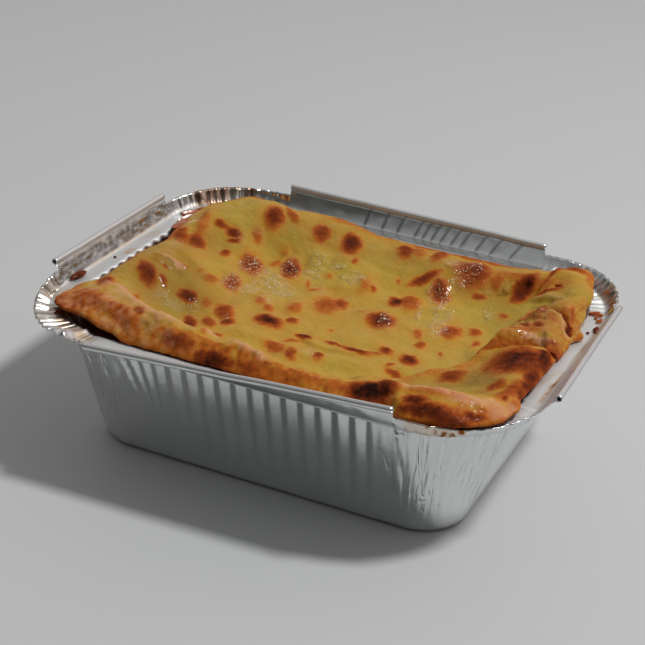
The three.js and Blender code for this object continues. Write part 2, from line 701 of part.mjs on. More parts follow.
const meal = new THREE.Group();
meal.add(
  piece("foil_tray", trayGeometry(), COLOURS.foil, 0.35, 1),
  piece("meat_filling", fillingGeometry(), COLOURS.filling, 0.6, 0),
  piece("cheese_sheet", sheetGeometry(), COLOURS.sheet, 0.35, 0),
  piece("side_flap", flapGeometry(), COLOURS.flap, 0.35, 0),
);

export default meal;
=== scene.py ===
"""A portion of gratinated lasagne in its fluted foil tray, dressed over its plain solids.

The shapes are worked out in millimetres and become metres when their mesh is made. +Z is up, X
runs along the tray's long sides and the front of the tray faces -Y.
"""

import math

import bpy
import numpy as np
from mathutils import Matrix, Vector


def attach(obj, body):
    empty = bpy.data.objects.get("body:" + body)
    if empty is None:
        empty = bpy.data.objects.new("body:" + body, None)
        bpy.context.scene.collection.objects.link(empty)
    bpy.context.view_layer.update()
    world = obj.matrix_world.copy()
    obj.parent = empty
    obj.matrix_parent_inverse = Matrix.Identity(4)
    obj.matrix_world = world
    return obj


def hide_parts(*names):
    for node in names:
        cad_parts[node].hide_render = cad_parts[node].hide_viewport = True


bl_info = {
    "name": "Foil tray meal",
    "version": (1, 0, 0),
    "blender": (4, 5, 0),
    "location": "3D View > Sidebar > Tray Meal",
    "description": "Dresses a tray meal: fluted foil, browned cheese, filling, crumbs and sauce",
    "category": "Object",
}

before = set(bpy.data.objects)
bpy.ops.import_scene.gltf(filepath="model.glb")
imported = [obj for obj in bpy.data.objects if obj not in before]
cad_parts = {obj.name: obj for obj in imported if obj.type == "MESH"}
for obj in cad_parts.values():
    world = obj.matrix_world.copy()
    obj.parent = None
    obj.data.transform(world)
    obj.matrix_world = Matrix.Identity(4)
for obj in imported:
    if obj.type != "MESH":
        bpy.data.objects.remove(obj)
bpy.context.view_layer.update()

MM = 0.001
BODY = "root"

# ------------------------------------------------------------ sizes shared with the solids

TRAY_LENGTH = 147.0
TRAY_WIDTH = 121.0
LEDGE_HEIGHT = 40.5
LEDGE_WIDTH = 5.3
LEDGE_CORNER_RADIUS = 29.0
BASE_INSET = 11.4
BASE_CORNER_RADIUS = 13.7
FOIL = 0.5
BASE_EDGE = 1.8
FLUTE_DEPTH = 0.55
PLEAT_DEPTH = 0.4
FLANGE_WIDTH = 6.8
BEAD_RADIUS = 1.0
BEAD_BORE = 0.6
BEAD_LIFT = 0.8
RIM_DROP = 0.72
# Lean of each flange at its two ends, in degrees: right, back, left, front.
FLANGE_LEANS = ((46.3, 38.4), (45.0, 23.8), (24.5, 29.0), (68.0, 23.4))
# Lean and width of the rim in the middle of each corner, from the back right one round.
CORNER_RIMS = ((42.0, 6.2), (34.0, 5.5), (80.0, 4.4), (18.0, 2.3))

SHEET_FLOOR = 36.9
SHEET_THICKNESS = 3.0
LIP_THICKNESS = 1.2
LIP_TAPER = 9.0
RELIEF_FADE = 6.0
LEDGE_CLEARANCE = 0.45
WALL_MARGIN = 1.5
SHEET_CLEARANCE = 1.7
FILLING_INSET = 2.1
FILLING_WALL_GAP = 1.75
FILLING_FOOT = (0.06, 3.0)
FILLING_BELOW_LEDGE = 1.0
BASE_GAP = 0.35

# Edge of the top sheet: place round the tray, reach, lip, crest, inset, slope.
SHEET_EDGE = (
    (0.0, -1.8, 0.5, 1.1, 4, 15),
    (0.55, -1.8, 0.9, 1.6, 4, 15),
    (0.84, 1.2, 5.0, 5.6, 4, 16),
    (1.05, 4.6, 5.6, 6.2, 5, 18),
    (1.14, -1.0, 3.4, 3.8, 5, 22),
    (1.25, -0.5, 1.7, 2.2, 5, 30),
    (1.42, -1.8, 0.7, 1.4, 5, 34),
    (1.8, -2.2, 0.5, 1.3, 5, 36),
    (2.12, -1.8, 1.0, 1.8, 5, 38),
    (2.38, -0.3, 3.2, 4.0, 5, 40),
    (2.64, -1.8, 3.2, 4.3, 5, 40),
    (2.86, -1.0, 4.7, 5.5, 6, 40),
    (3.06, -0.6, 2.8, 4.0, 6, 38),
    (3.42, -1.7, 0.7, 2.0, 6, 34),
    (3.74, -3.3, 0.3, 1.6, 5, 32),
    (4.0, -1.8, 0.6, 2.2, 6, 32),
    (4.56, -2.8, 1.2, 3.2, 7, 30),
    (4.74, -0.8, 3.0, 5.0, 10, 26),
    (4.93, 3.4, 3.4, 6.6, 15, 22),
    (5.15, -0.8, 3.9, 7.4, 12, 20),
    (5.31, 0.2, 3.2, 7.6, 10, 18),
    (5.4, 0.9, 1.5, 7.5, 8, 17),
    (5.62, 0.7, 1.5, 7.0, 5.5, 16),
    (5.8, 0.6, 1.5, 5.8, 5, 16),
    (6.25, 1.1, 1.5, 4.9, 4.5, 16),
    (6.46, 0.2, 1.4, 4.2, 5, 18),
    (6.6, 0.6, 2.0, 5.2, 7, 22),
    (6.75, 4.8, 3.9, 7.3, 9, 24),
    (6.9, 6.4, 4.4, 8.2, 9, 25),
    (7.06, 6.2, 4.1, 7.4, 9, 24),
    (7.2, 3.4, 3.3, 5.4, 7, 22),
    (7.38, 0.6, 2.4, 3.6, 5, 20),
    (7.78, 1.3, 2.0, 2.8, 4, 18),
    (7.94, 1.2, 1.6, 2.2, 4, 16),
)

# Rises and hollows: x, y, half lengths along and across, turn in degrees, height.
SHEET_RELIEF = (
    (-57, -8, 13, 7, 62, 2.2),
    (-50, 2, 10, 2.6, -22, 1.6),
    (-50, 34, 14, 9, 40, 1.6),
    (-38, -22, 9, 4, -35, -1.4),
    (20, 40, 16, 7, -8, 1.7),
    (44, 40, 7, 9, 15, 1.0),
    (30, 22, 12, 5, 20, 0.9),
    (-22, 30, 8, 6, 0, 1.1),
    (-8, -26, 18, 2.6, -6, 1.1),
    (48, -31, 8, 4, 12, 1.5),
    (58, -34, 9, 4, 14, -1.8),
    (60, -17, 8, 6, 0, 0.9),
    (34, -30, 9, 4, -40, -0.8),
)

FLAP_EDGE = (
    (48, -7.2),
    (55, -4.6),
    (62, -2.4),
    (69, -2.6),
    (70.1, 5),
    (70, 11.5),
    (71.9, 16),
    (69.4, 20.5),
    (68.6, 30),
    (66.2, 36.4),
    (57.5, 34.5),
    (52.2, 27.5),
    (51.2, 13),
    (48.4, -1.5),
)
FLAP_MIDDLE = (60.5, 14.0)
FLAP_THICKNESS = 3.6
FLAP_SHOULDER = 7.0
FLAP_ROLL = (61, 1.5, 12, 4, 10, 1.6)
FLAP_ROLL_FADE = 4.0
FLAP_CLEARANCE = 0.7
FLAP_CRACK_DEPTH = 2.2
FILLING_CAVITY = (-48, -45, 16, 9, -35, -4.5)

# ------------------------------------------------------------ what is only in the scene

FOIL_SHEET = 0.22  # thickness of the foil
STATION_STEP = 0.45  # between the tray's rows of points, along its edge
FLUTE_PITCH = 5.1
FLUTE_START = -1.57  # x of one crease of the front wall
NET_RINGS = 138  # of points in the top sheet, from its middle to its edge
FLAP_SIDES = 620
FLAP_RINGS = 78
FILLING_RINGS = 64
LUMP_RINGS = 12
LUMP_SIDES = 20
BEAD_SHEET = 0.12  # foil in the rolled beads
BEAD_WOBBLE = 0.3
BEAD_TURNS = 1.75
CRINKLE = 0.3  # depth of the small dents all over the foil
CRINKLE_SEED = 4.0
CREASE_SPACING = (4.2, 16.0)  # of the pressed corners' creases: along the edge and up
PLEATS = ((2.7, -4.0), (1.2, -1.6))  # spacing and steepness of the rim's coarse and fine pleats
BACK_FLANGE_RISE = 5.4
BACK_FLANGE_HALF = 50.0
LEFT_FLANGE_HALF = 36.0
NO_DENT = 2.0  # stored for foil away from every dent line
DENT_REACH = 0.85  # distance from a dent line at which its shade ends
STAIN_FLOOR = 38.0  # height below which the foil is clean
CHEESE_GRAIN = 1.2
FAT_SHINE = 1.9  # refractive index of the coat of fat
FAT_SEED = 3
BEAD_SIZES = ((0.3, 0.3, 0.4), (1.7, 1.0, 1.1))  # smallest and largest, in usual radii
BEAD_FLATNESS = (1.0, 1.0, 0.7)
FULL_TURN = 6.28
LEDGE_START = 64.0  # x at which the flap begins to lie over the ledge
LEDGE_BLEND = 4.0
FLAP_EDGE_THICKNESS = (-1.1, 0.9)  # where it sinks into the sheet, and over the ledge
FLAP_SINK = 1.4  # depth of its underside below the sheet's top
FLAP_REST = 0.25  # its gap over the sheet
MIDDLE_INWARDS = 9.0  # distance in from the edge that is stored for the flap's middle

# The flap's rings below its edge: scale of its outline, and share of the way down.
FLAP_UNDER_RINGS = ((1.002, 0.45), (0.999, 0.85), (0.985, 1.0), (0.9, 1.0), (0.4, 1.0))
# The sheet's lip below its edge: scale of its outline, and share of its thickness.
LIP_RINGS = ((1.002, 0.3), (1.002, 0.65), (0.999, 0.92), (0.993, 1.0))
UNDER_RINGS = (0.975, 0.955, 0.93, 0.9, 0.86, 0.8, 0.6)  # shares of the way out
# What is stored for the sheet's underside.
UNDERSIDE = {"brown": 0.75, "warm": 1.0, "dull": 0.0, "pale": 0.0, "blister": 0.3, "fat": 0.0}

# Browned spots of the cheese: x, y, half lengths along and across, turn, how brown, roughness
# of the skin (0 smooth to 1 blistered).
SPOTS = (
    (-40, 41, 6.0, 3.4, 115, 0.8, 0.3),
    (-36, 46, 6.0, 1.8, 135, 0.55, 0.2),
    (-53, 29, 3.0, 1.8, 155, 0.75, 0.2),
    (-48, 28, 2.8, 2.2, 175, 0.9, 0.8),
    (-46, 25, 2.4, 1.3, 45, 0.7, 0.3),
    (-45, 17, 2.8, 1.7, 95, 0.75, 0.3),
    (-36, 17, 7.2, 3.8, 120, 0.75, 1.0),
    (-24, 21, 6.0, 3.2, 115, 0.9, 1.0),
    (-30, 23, 3.1, 2.2, 90, 0.4, 0.4),
    (-35, 2, 5.6, 3.0, 110, 0.6, 1.0),
    (-40, -2, 3.7, 2.4, 85, 0.42, 0.1),
    (-44, -1, 2.2, 1.2, 65, 0.3, 0.1),
    (-55, 16, 5.3, 3.0, 120, 0.75, 0.4),
    (-61, 17, 6.7, 2.8, 130, 0.6, 0.4),
    (-54, -17, 6.3, 2.9, 125, 0.8, 0.3),
    (-49, -15, 2.4, 1.2, 145, 0.55, 0.2),
    (-52, -9, 1.8, 1.0, 90, 0.4, 0.2),
    (-41, -15, 3.3, 2.9, 125, 0.9, 0.9),
    (-49, -4, 2.0, 1.0, 25, 0.75, 0.1),
    (-51, -36, 3.3, 1.0, 135, 0.65, 0.2),
    (-47, -35, 6.0, 1.1, 115, 0.45, 0.2),
    (-41, 31, 3.4, 2.0, 115, 0.42, 0.9),
    (-30, 29, 2.8, 1.8, 130, 0.28, 0.1),
    (-35, -14, 3.4, 2.3, 105, 0.35, 0.2),
    (-22, -4, 3.8, 2.2, 115, 0.4, 0.1),
    (-18, -7, 3.2, 2.2, 110, 0.48, 0.1),
    (-11, -3, 4.4, 2.8, 100, 0.4, 0.1),
    (-28, -16, 6.6, 3.2, 125, 0.62, 0.5),
    (-24, -22, 2.9, 2.0, 90, 0.8, 0.5),
    (-34, -26, 4.8, 1.9, 125, 0.95, 0.6),
    (-29, -24, 4.5, 2.0, 130, 0.58, 0.5),
    (-14, -15, 4.6, 3.4, 160, 1.15, 0.5),
    (-8, -11, 2.7, 2.0, 105, 0.75, 0.4),
    (-1, -18, 2.8, 1.3, 170, 1.0, 0.2),
    (15.8, -18.6, 4.4, 1.6, 355, 1.05, 0.3),
    (8.5, -17.2, 3.6, 0.8, 355, 0.8, 0.1),
    (20.5, -17.5, 3.2, 1.3, 15, 0.5, 0.2),
    (-5, -29, 4.5, 2.6, 155, 0.52, 0.2),
    (1, -31, 3.9, 2.0, 115, 0.55, 0.9),
    (4, -53, 1.8, 1.0, 0, 0.5, 0.2),
    (-23, -31, 2.4, 1.5, 35, 0.5, 0.2),
    (-18, -48, 2.0, 1.1, 115, 0.4, 0.2),
    (-8, -48, 1.5, 1.2, 45, 0.35, 0.2),
    (-3, -22, 3.0, 1.3, 40, 0.45, 0.1),
    (-23, 41, 5.4, 3.0, 115, 0.7, 0.6),
    (-12, 40, 5.9, 3.4, 110, 1.0, 0.8),
    (-7, 32, 2.2, 1.3, 110, 0.5, 0.3),
    (5, 45, 5.6, 2.8, 110, 0.8, 0.3),
    (9, 45.5, 5.5, 3.2, 110, 0.36, 0.2),
    (16, 33, 5.8, 1.9, 50, 0.8, 0.2),
    (9, 29, 1.7, 0.8, 115, 0.5, 0.1),
    (16, 47, 6.4, 2.5, 90, 0.6, 0.3),
    (29, 42, 7.4, 6.0, 100, 0.75, 1.0),
    (37, 41, 4.0, 2.6, 100, 0.42, 0.3),
    (23, 29, 6.3, 3.1, 110, 0.85, 1.0),
    (34, 34, 2.4, 1.6, 30, 0.62, 0.2),
    (13, 18, 3.6, 2.2, 110, 1.05, 0.3),
    (17, 19.5, 6.2, 3.4, 110, 0.55, 0.2),
    (4, 21, 2.2, 1.5, 110, 0.58, 0.1),
    (-4, 5, 7.4, 5.0, 110, 0.48, 0.1),
    (-1, 8, 4.8, 2.4, 115, 0.66, 0.1),
    (1.5, 21.5, 5.5, 3.0, 110, 0.3, 0.1),
    (14, 4, 5.3, 4.3, 110, 1.0, 0.9),
    (-15, 15, 3.6, 0.9, 115, 0.42, 0.1),
    (-12, 13, 2.8, 1.4, 35, 0.4, 0.1),
    (-11, 22, 1.7, 1.2, 130, 0.35, 0.1),
    (23, -14, 3.0, 2.0, 140, 0.75, 0.2),
    (31, -16, 3.3, 2.6, 130, 1.05, 0.4),
    (27, -21, 1.6, 1.2, 70, 0.6, 0.3),
    (30, -25, 3.8, 1.6, 150, 0.68, 0.3),
    (27, 1, 3.3, 1.8, 105, 0.42, 0.1),
    (30, -5, 2.7, 1.7, 105, 0.6, 0.1),
    (35, 7, 5.2, 3.5, 100, 0.62, 0.1),
    (41, 12, 3.1, 2.0, 100, 0.58, 0.1),
    (44, 4, 3.2, 1.4, 95, 0.52, 0.1),
    (37, -7, 1.8, 0.7, 110, 0.58, 0.1),
    (4, -10, 1.5, 1.1, 95, 0.38, 0.1),
    (7, 6, 2.0, 1.3, 45, 0.35, 0.1),
    (8, -28, 2.2, 1.4, 110, 0.68, 0.7),
    (46, -21, 5.7, 3.0, 65, 0.7, 0.2),
    (61, -29, 3.2, 2.6, 45, 0.55, 0.2),
    (66, -38, 1.9, 0.8, 105, 0.8, 0.2),
    (45.8, 41.2, 6.0, 2.5, 70, 0.95, 0.2),
    (46.6, 43.6, 2.4, 1.3, 60, 1.15, 0.3),
    (45, 25, 2.7, 1.8, 95, 0.45, 0.1),
    (52, 45, 1.6, 1.1, 170, 0.62, 0.2),
    (57, 42, 1.0, 0.5, 120, 1.2, 0.1),
    (54, 40, 4.6, 1.3, 5, 0.72, 0.2),
    (-59, -32, 7.6, 2.6, 120, 0.8, 0.4),
    (-53, -48, 2.8, 1.7, 150, 0.6, 0.3),
    (-47, -48, 2.6, 1.6, 135, 0.6, 0.3),
    (-38, -49, 2.6, 1.9, 135, 0.62, 0.3),
    (-59, -44, 3.0, 1.9, 155, 0.6, 0.3),
)

# Burnt and browned crust near the edge, in the same terms; the darkest on the low front faces are
# partly painted shade.
CRUSTS = (
    (-56, -46, 10, 4.5, 150, 0.55, 0.5),
    (-42, -51, 10, 3.5, 155, 0.5, 0.4),
    (-23, -54, 5.5, 2.0, 0, 0.82, 0.5),
    (-11, -55, 7.0, 1.3, 0, 1.08, 0.6),
    (0, -55, 5.0, 1.6, 175, 0.62, 0.4),
    (14, -54, 7.0, 1.8, 0, 0.42, 0.4),
    (25, -53, 5.0, 2.0, 0, 0.42, 0.4),
    (34, -52.5, 7.0, 3.4, 0, 1.35, 0.9),
    (50.5, -57.5, 6.5, 1.8, 0, 1.1, 0.6),
    (57, -57, 9.0, 2.6, 5, 0.94, 0.5),
    (63, -53, 4.0, 1.4, 35, 0.95, 0.5),
    (66, -32, 10, 3.0, 80, 0.55, 0.3),
    (62, -14, 9.0, 7.4, 10, 0.95, 0.5),
    (63, -11, 5.0, 1.8, 10, 1.05, 0.5),
    (67.5, -9, 6.5, 2.4, 95, 1.15, 0.6),
    (61.5, -11.5, 1.6, 1.0, 0, 1.3, 0.6),
    (67.8, -22, 10, 2.2, 92, 0.95, 0.4),
    (68.3, -31, 3.5, 1.4, 90, 0.85, 0.3),
    (47.5, -55.3, 3.6, 1.6, 0, 1.1, 0.5),
    (50, -51.5, 10, 2.6, 5, 0.34, 0.3),
    (58, -50, 5, 1.6, 15, 0.42, 0.3),
    (46, 44, 16, 3.0, 175, 0.35, 0.3),
    (25, 52, 26, 2.0, 178, 0.5, 0.3),
    (-16, 51, 16, 2.2, 178, 0.3, 0.3),
    (-58, 26, 12, 2.4, 110, 0.34, 0.3),
    (53.5, 48.5, 3.5, 1.6, 55, 0.6, 0.2),
    (58.5, 50.5, 5.0, 1.8, 5, 0.7, 0.2),
)

# Lines on the flap: its crack, its front foot, which is darkened with painted shadow, and the
# painted highlight along its roll.
CRACK_PATH = ((57, 22.5), (61, 21), (64.5, 19.5), (66.6, 17), (67.4, 13.5), (69.8, 11.5))
FLAP_FRONT = ((44, -9), (48, -7.2), (55, -4.6), (62, -2.4), (69, -2.6), (71, -2.6))
FLAP_PAINTED_SHINE = ((57, 2.4), (60, 1.9), (63, 1.6), (67, -0.3))

# The side flap's own spots.
FLAP_SPOTS = (
    (57, 25, 2.5, 0.9, 115, 0.75, 0.2),
    (52, 19, 2.2, 1.0, 115, 0.6, 0.2),
    (55, 9.5, 4.6, 2.0, 130, 0.85, 0.3),
    (60, 9, 2.5, 1.6, 125, 0.78, 0.2),
    (65, 8, 2.9, 1.1, 100, 0.12, 0.2),
    (58, 17, 3.9, 1.0, 110, 0.35, 0.1),
    (66, 23, 4.8, 1.0, 105, 0.5, 0.2),
    (57.5, 20.5, 3.5, 2.2, 110, 0.5, 0.2),
    (62, 15, 5.0, 2.6, 120, 0.34, 0.2),
    (57, 4, 7.0, 2.4, 15, 0.4, 0.2),
)

# Places where fat stands in beads, whose pale colour partly paints glints: x, y, half lengths,
# turn, how dense.
FAT_POOLS = (
    (-27, 12, 9.0, 5.0, 150, 1.0),
    (-29, 3, 4.0, 3.3, 70, 1.0),
    (-19, 6, 3.2, 2.1, 40, 1.0),
    (-36, 17, 7.5, 4.0, 120, 0.9),
    (-24, 21, 6.0, 3.2, 115, 0.9),
    (-35, 2, 6.0, 3.2, 110, 0.9),
    (-42, 33, 1.8, 1.6, 40, 0.7),
    (-42, -22, 4.2, 2.4, 70, 0.8),
    (-59, 11, 4.6, 1.6, 115, 0.5),
    (-17, 27, 4.9, 2.8, 120, 0.8),
    (-4, 24, 3.8, 2.7, 15, 1.1),
    (-11, 27, 2.6, 1.4, 10, 0.8),
    (-11, 14, 4.4, 2.1, 110, 0.4),
    (27, 36, 3.8, 1.9, 30, 1.1),
    (23, 29, 7.4, 3.9, 110, 0.9),
    (31, 9, 6.0, 3.4, 105, 1.0),
    (22, 14, 4.8, 1.0, 110, 0.8),
    (40, 25, 5.2, 1.3, 110, 0.8),
    (15, 6, 3.5, 1.8, 110, 0.8),
    (27, 42, 7.0, 4.7, 90, 0.9),
    (41, 39, 1.0, 0.8, 30, 0.7),
    (-26, -19, 2.1, 1.2, 115, 0.8),
    (5, -27, 4.0, 2.8, 100, 0.4),
    (-38, -17, 3.4, 2.2, 120, 0.7),
    (-47, -20, 4.5, 1.8, 100, 0.6),
    (-17, 23, 5.5, 3.0, 100, 0.8),
    (29, 16, 6.0, 3.0, 120, 0.8),
    (-22, 0, 6.0, 2.2, 120, 0.6),
    (-45, 27, 3.4, 2.0, 120, 0.6),
    (22, 43, 3.0, 4.0, 90, 0.7),
    (16, 2, 4.0, 3.0, 90, 0.8),
)

# Folds of the top sheet: points along the fold, width, height.
FOLDS = (
    (((-62, -34), (-52, -36), (-43, -43), (-31, -49), (-22, -47), (-14, -46)), 2.0, 1.1),
    (((-22, -47), (-14, -46), (-4, -50), (6, -53)), 1.8, 0.9),
    (((-60, -7), (-52, -5), (-46, -4)), 1.1, 0.8),
    (((-58, -11), (-52, -9), (-46, -8)), 1.2, -0.6),
    (((-4, -17), (4, -21), (14, -21), (25, -16)), 1.1, 0.5),
    (((-4, -19), (4, -23), (14, -23), (25, -18)), 0.9, -0.4),
    (((32, -48), (42, -50), (54, -50), (64, -46)), 1.8, 0.7),
    (((49, 38.5), (56, 37.5), (65, 30)), 1.0, 0.5),
    (((47, 37), (55, 35.5), (62, 30)), 1.2, -0.5),
)

# Steps of the sheet over folds beneath it: points along the step with its high side on the
# right, rise, how wide the step is, and how far behind it the rise fades.
STEPS = (
    (((16, -42), (26, -33), (36, -25), (43, -15), (49, -4), (50, 6)), 1.7, 2.6, 16),
    (((-28, 26), (-12, 34), (8, 30)), 0.5, 4.0, 14),
    (((46, 33), (49.5, 39), (51.5, 45), (54, 51)), 1.3, 3.0, 14),
)

# More rises and hollows, as in the sheet's own relief.
SWELLS = (
    (-36, -37, 12, 3.6, -33, -1.7),
    (-14, -41, 10, 3.0, -5, -0.9),
    (-47, -14, 9, 3.0, 75, -1.1),
    (-52, 18, 12, 4.0, 60, -0.8),
    (52, -40, 10, 3.0, 8, -1.2),
    (-30, 38, 5, 3.0, 90, 0.7),
    (-44, 22, 4, 3.0, 60, 0.6),
    (0, 36, 6, 4.0, 90, -0.7),
    (32, 30, 5, 3.0, 100, -0.6),
    (14, 26, 8, 3.0, 20, -0.5),
    (61, -7, 9, 5.5, 8, 2.8),
    (66, -22, 8, 4.0, 80, 0.8),
    (53.5, 16, 15, 5.0, 95, 3.0),
    (49, -4, 5.5, 4.0, 30, 1.8),
)

# Painted pink highlights along the crests: points along the crest, half width, strength.
PAINTED_HIGHLIGHT_CRESTS = (
    (((-60, -35), (-52, -36), (-43, -43), (-31, -49), (-22, -47)), 1.8, 0.62),
    (((-22, -47), (-14, -46), (-4, -50), (6, -53)), 1.4, 0.6),
    (((54, -51.5), (60, -49.5), (64, -46), (68, -40)), 1.8, 0.6),
    (((65, -50), (68, -45), (69.5, -38)), 2.2, 0.5),
    (((-60, -6), (-54, -5), (-47, -5)), 0.9, 0.75),
    (((34, -48), (44, -50), (54, -50), (64, -46)), 1.5, 0.6),
    (((49, 38.7), (56, 37.7), (65, 30)), 0.6, 0.35),
)

# Dents of the back flange: distance along it, width, depth.
BACK_DENTS = (
    (-15.8, 0.8, 0.4),
    (-9.4, 0.8, 0.4),
    (-3.9, 0.9, 0.45),
    (2.4, 0.9, 0.5),
    (5.3, 0.8, 0.45),
    (8.4, 0.9, 0.5),
    (11.6, 0.9, 0.5),
    (15.4, 1.0, 0.5),
    (18.8, 1.0, 0.55),
    (24.2, 1.1, 0.6),
    (29.2, 1.1, 0.6),
    (36.0, 1.6, 0.4),
)


# ------------------------------------------------------------ small sums


def smooth(t):
    """An eased step from 0 to 1."""
    t = np.clip(t, 0.0, 1.0)
    return t * t * (3.0 - 2.0 * t)


def lerp(a, b, t):
    """The value a share t of the way from a to b."""
    return a + (b - a) * t


def noise(x, y, z, seed):
    """Gradient noise, about -1 to 1, with cells one unit wide."""
    rng = np.random.RandomState(seed)
    order = np.tile(rng.permutation(256), 3)
    slopes = rng.normal(size=(256, 3))
    slopes /= np.linalg.norm(slopes, axis=1)[:, None]
    x, y, z = np.broadcast_arrays(x, y, z)
    cells = [np.floor(v).astype(int) for v in (x, y, z)]
    parts = [v - c for v, c in zip((x, y, z), cells)]
    eased = [p * p * p * (p * (p * 6 - 15) + 10) for p in parts]
    total = 0.0
    for corner in range(8):
        steps = [(corner >> k) & 1 for k in range(3)]
        i, j, k = [(c + s) & 255 for c, s in zip(cells, steps)]
        slope = slopes[order[order[order[i] + j] + k]]
        gaps = [p - s for p, s in zip(parts, steps)]
        weight = 1.0
        for e, s in zip(eased, steps):
            weight = weight * (e if s else 1 - e)
        total = total + weight * sum(g * slope[..., n] for n, g in enumerate(gaps))
    return total * 1.7


def layered(x, y, z, size, seed, layers=3):
    """Noise of several sizes, the largest `size` across."""
    total = 0.0
    for n in range(layers):
        step = 2.0**n / size
        total = total + noise(x * step, y * step, z * step, seed + n) / 1.8**n
    return total


def ellipse_distance(x, y, spot):
    """Distance from a spot's middle, 1 on its outline."""
    turn = math.radians(spot[4])
    dx, dy = x - spot[0], y - spot[1]
    along = (dx * math.cos(turn) + dy * math.sin(turn)) / spot[2]
    across = (dy * math.cos(turn) - dx * math.sin(turn)) / spot[3]
    return np.hypot(along, across)


def relief(x, y, rises):
    """What a list of rises and hollows adds."""
    return sum(spot[5] * np.exp(-(ellipse_distance(x, y, spot) ** 2)) for spot in rises)


def path_distance(x, y, points):
    """Distance to a path, above 0 on its right, and how far along it, from 0 to 1."""
    nearest = np.full(np.shape(x), 1e9)
    place = np.zeros(np.shape(x))
    right = np.zeros(np.shape(x), dtype=bool)
    count = len(points) - 1
    for n in range(count):
        (ax, ay), (bx, by) = points[n], points[n + 1]
        length = (bx - ax) ** 2 + (by - ay) ** 2
        share = np.clip(((x - ax) * (bx - ax) + (y - ay) * (by - ay)) / length, 0, 1)
        distance = np.hypot(x - ax - share * (bx - ax), y - ay - share * (by - ay))
        closer = distance < nearest
        nearest = np.where(closer, distance, nearest)
        place = np.where(closer, (n + share) / count, place)
        turn = (bx - ax) * (y - ay) - (by - ay) * (x - ax)
        right = np.where(closer, turn < 0, right)
    return np.where(right, nearest, -nearest), place


# ------------------------------------------------------------ outlines and surfaces

LEDGE_OUTER = (TRAY_LENGTH / 2, TRAY_WIDTH / 2, LEDGE_CORNER_RADIUS)
LEDGE_INNER = tuple(v - LEDGE_WIDTH for v in LEDGE_OUTER)
BASE_RECT = (LEDGE_INNER[0] - BASE_INSET, LEDGE_INNER[1] - BASE_INSET, BASE_CORNER_RADIUS)


def wall_rect(share):
    """Half sizes and corner radius of the wall at a share of its height."""
    return tuple(lerp(low, high, share) for low, high in zip(BASE_RECT, LEDGE_INNER))


def rect_point(rect, at, outwards):
    """Point of a rounded rectangle at place `at`, from 0 in the middle of the right side to 8."""
    half_x, half_y, radius = rect
    at = np.mod(at, 8)
    quadrant = np.floor(at / 2).astype(int)
    place = at - 2 * quadrant
    turned = quadrant % 2 == 1
    reach1 = np.where(turned, half_y, half_x) - radius
    reach2 = np.where(turned, half_x, half_y) - radius
    eighth = radius * np.pi / 4
    travelled1 = place * (reach2 + eighth)
    travelled2 = (2 - place) * (reach1 + eighth)
    first = place < 1
    along1 = np.where(first, reach1, np.minimum(travelled2, reach1))
    along2 = np.where(first, np.minimum(travelled1, reach2), reach2)
    turn1 = np.maximum(travelled1 - reach2, 0) / radius
    turn2 = np.pi / 2 - np.maximum(travelled2 - reach1, 0) / radius
    turn = np.where(first, turn1, turn2)
    u = along1 + (radius + outwards) * np.cos(turn)
    v = along2 + (radius + outwards) * np.sin(turn)
    a = quadrant * np.pi / 2
    return u * np.cos(a) - v * np.sin(a), u * np.sin(a) + v * np.cos(a)


def edge_at(at):
    """Reach, lip, crest, inset and slope of the sheet's edge at a place round the tray."""
    at = np.mod(at, 8)
    table = np.array(SHEET_EDGE + ((8.0,) + SHEET_EDGE[0][1:],))
    i = np.clip(np.searchsorted(table[:, 0], at, side="right") - 1, 0, len(table) - 2)
    a, b = table[i], table[i + 1]
    share = smooth((at - a[..., 0]) / (b[..., 0] - a[..., 0]))[..., None]
    return np.moveaxis(a + (b - a) * share, -1, 0)[1:]


def sheet_point(share, at):
    """Top of the sheet at a share of the way out: x, y, z and the distance in from its edge."""
    reach, lip, crest, inset, slope = edge_at(at)
    edge_x, edge_y = rect_point(LEDGE_INNER, at, reach)
    x, y = edge_x * share, edge_y * share
    inwards = (1 - share) * np.hypot(edge_x, edge_y)
    rise = np.sin(np.clip(inwards / inset, 0, 1) * np.pi / 2)
    near = LEDGE_HEIGHT + lerp(lip, crest, rise)
    fall = smooth((inwards - inset) / slope)
    z = np.where(inwards < inset, near, lerp(LEDGE_HEIGHT + crest, SHEET_FLOOR, fall))
    z = z + smooth(inwards / RELIEF_FADE) * relief(x, y, SHEET_RELIEF)
    return x, y, z, inwards


def sheet_place(x, y):
    """Place round the tray and share of the way out of a point given by x and y."""
    places = np.linspace(0, 8, 6401)[:-1]
    edge_x, edge_y = rect_point(LEDGE_INNER, places, edge_at(places)[0])
    angles = np.mod(np.arctan2(edge_y, edge_x), 2 * np.pi)
    angles[0] = 0
    at = np.interp(np.mod(np.arctan2(y, x), 2 * np.pi), angles, places)
    edge_x, edge_y = rect_point(LEDGE_INNER, at, edge_at(at)[0])
    return at, np.hypot(x, y) / np.hypot(edge_x, edge_y)


def sheet_height(x, y):
    """Height of the top sheet over a point given by x and y."""
    at, share = sheet_place(x, y)
    return sheet_point(np.minimum(share, 1.0), at)[2]


def sheet_underside(share, at):
    """Underside of the sheet: x, y and z."""
    x, y, top, inwards = sheet_point(share, at)
    z = top - lerp(LIP_THICKNESS, SHEET_THICKNESS, smooth(inwards / LIP_TAPER))
    over_ledge = edge_at(at)[0] - inwards > -WALL_MARGIN
    return x, y, np.where(over_ledge, np.maximum(z, LEDGE_HEIGHT + LEDGE_CLEARANCE), z)


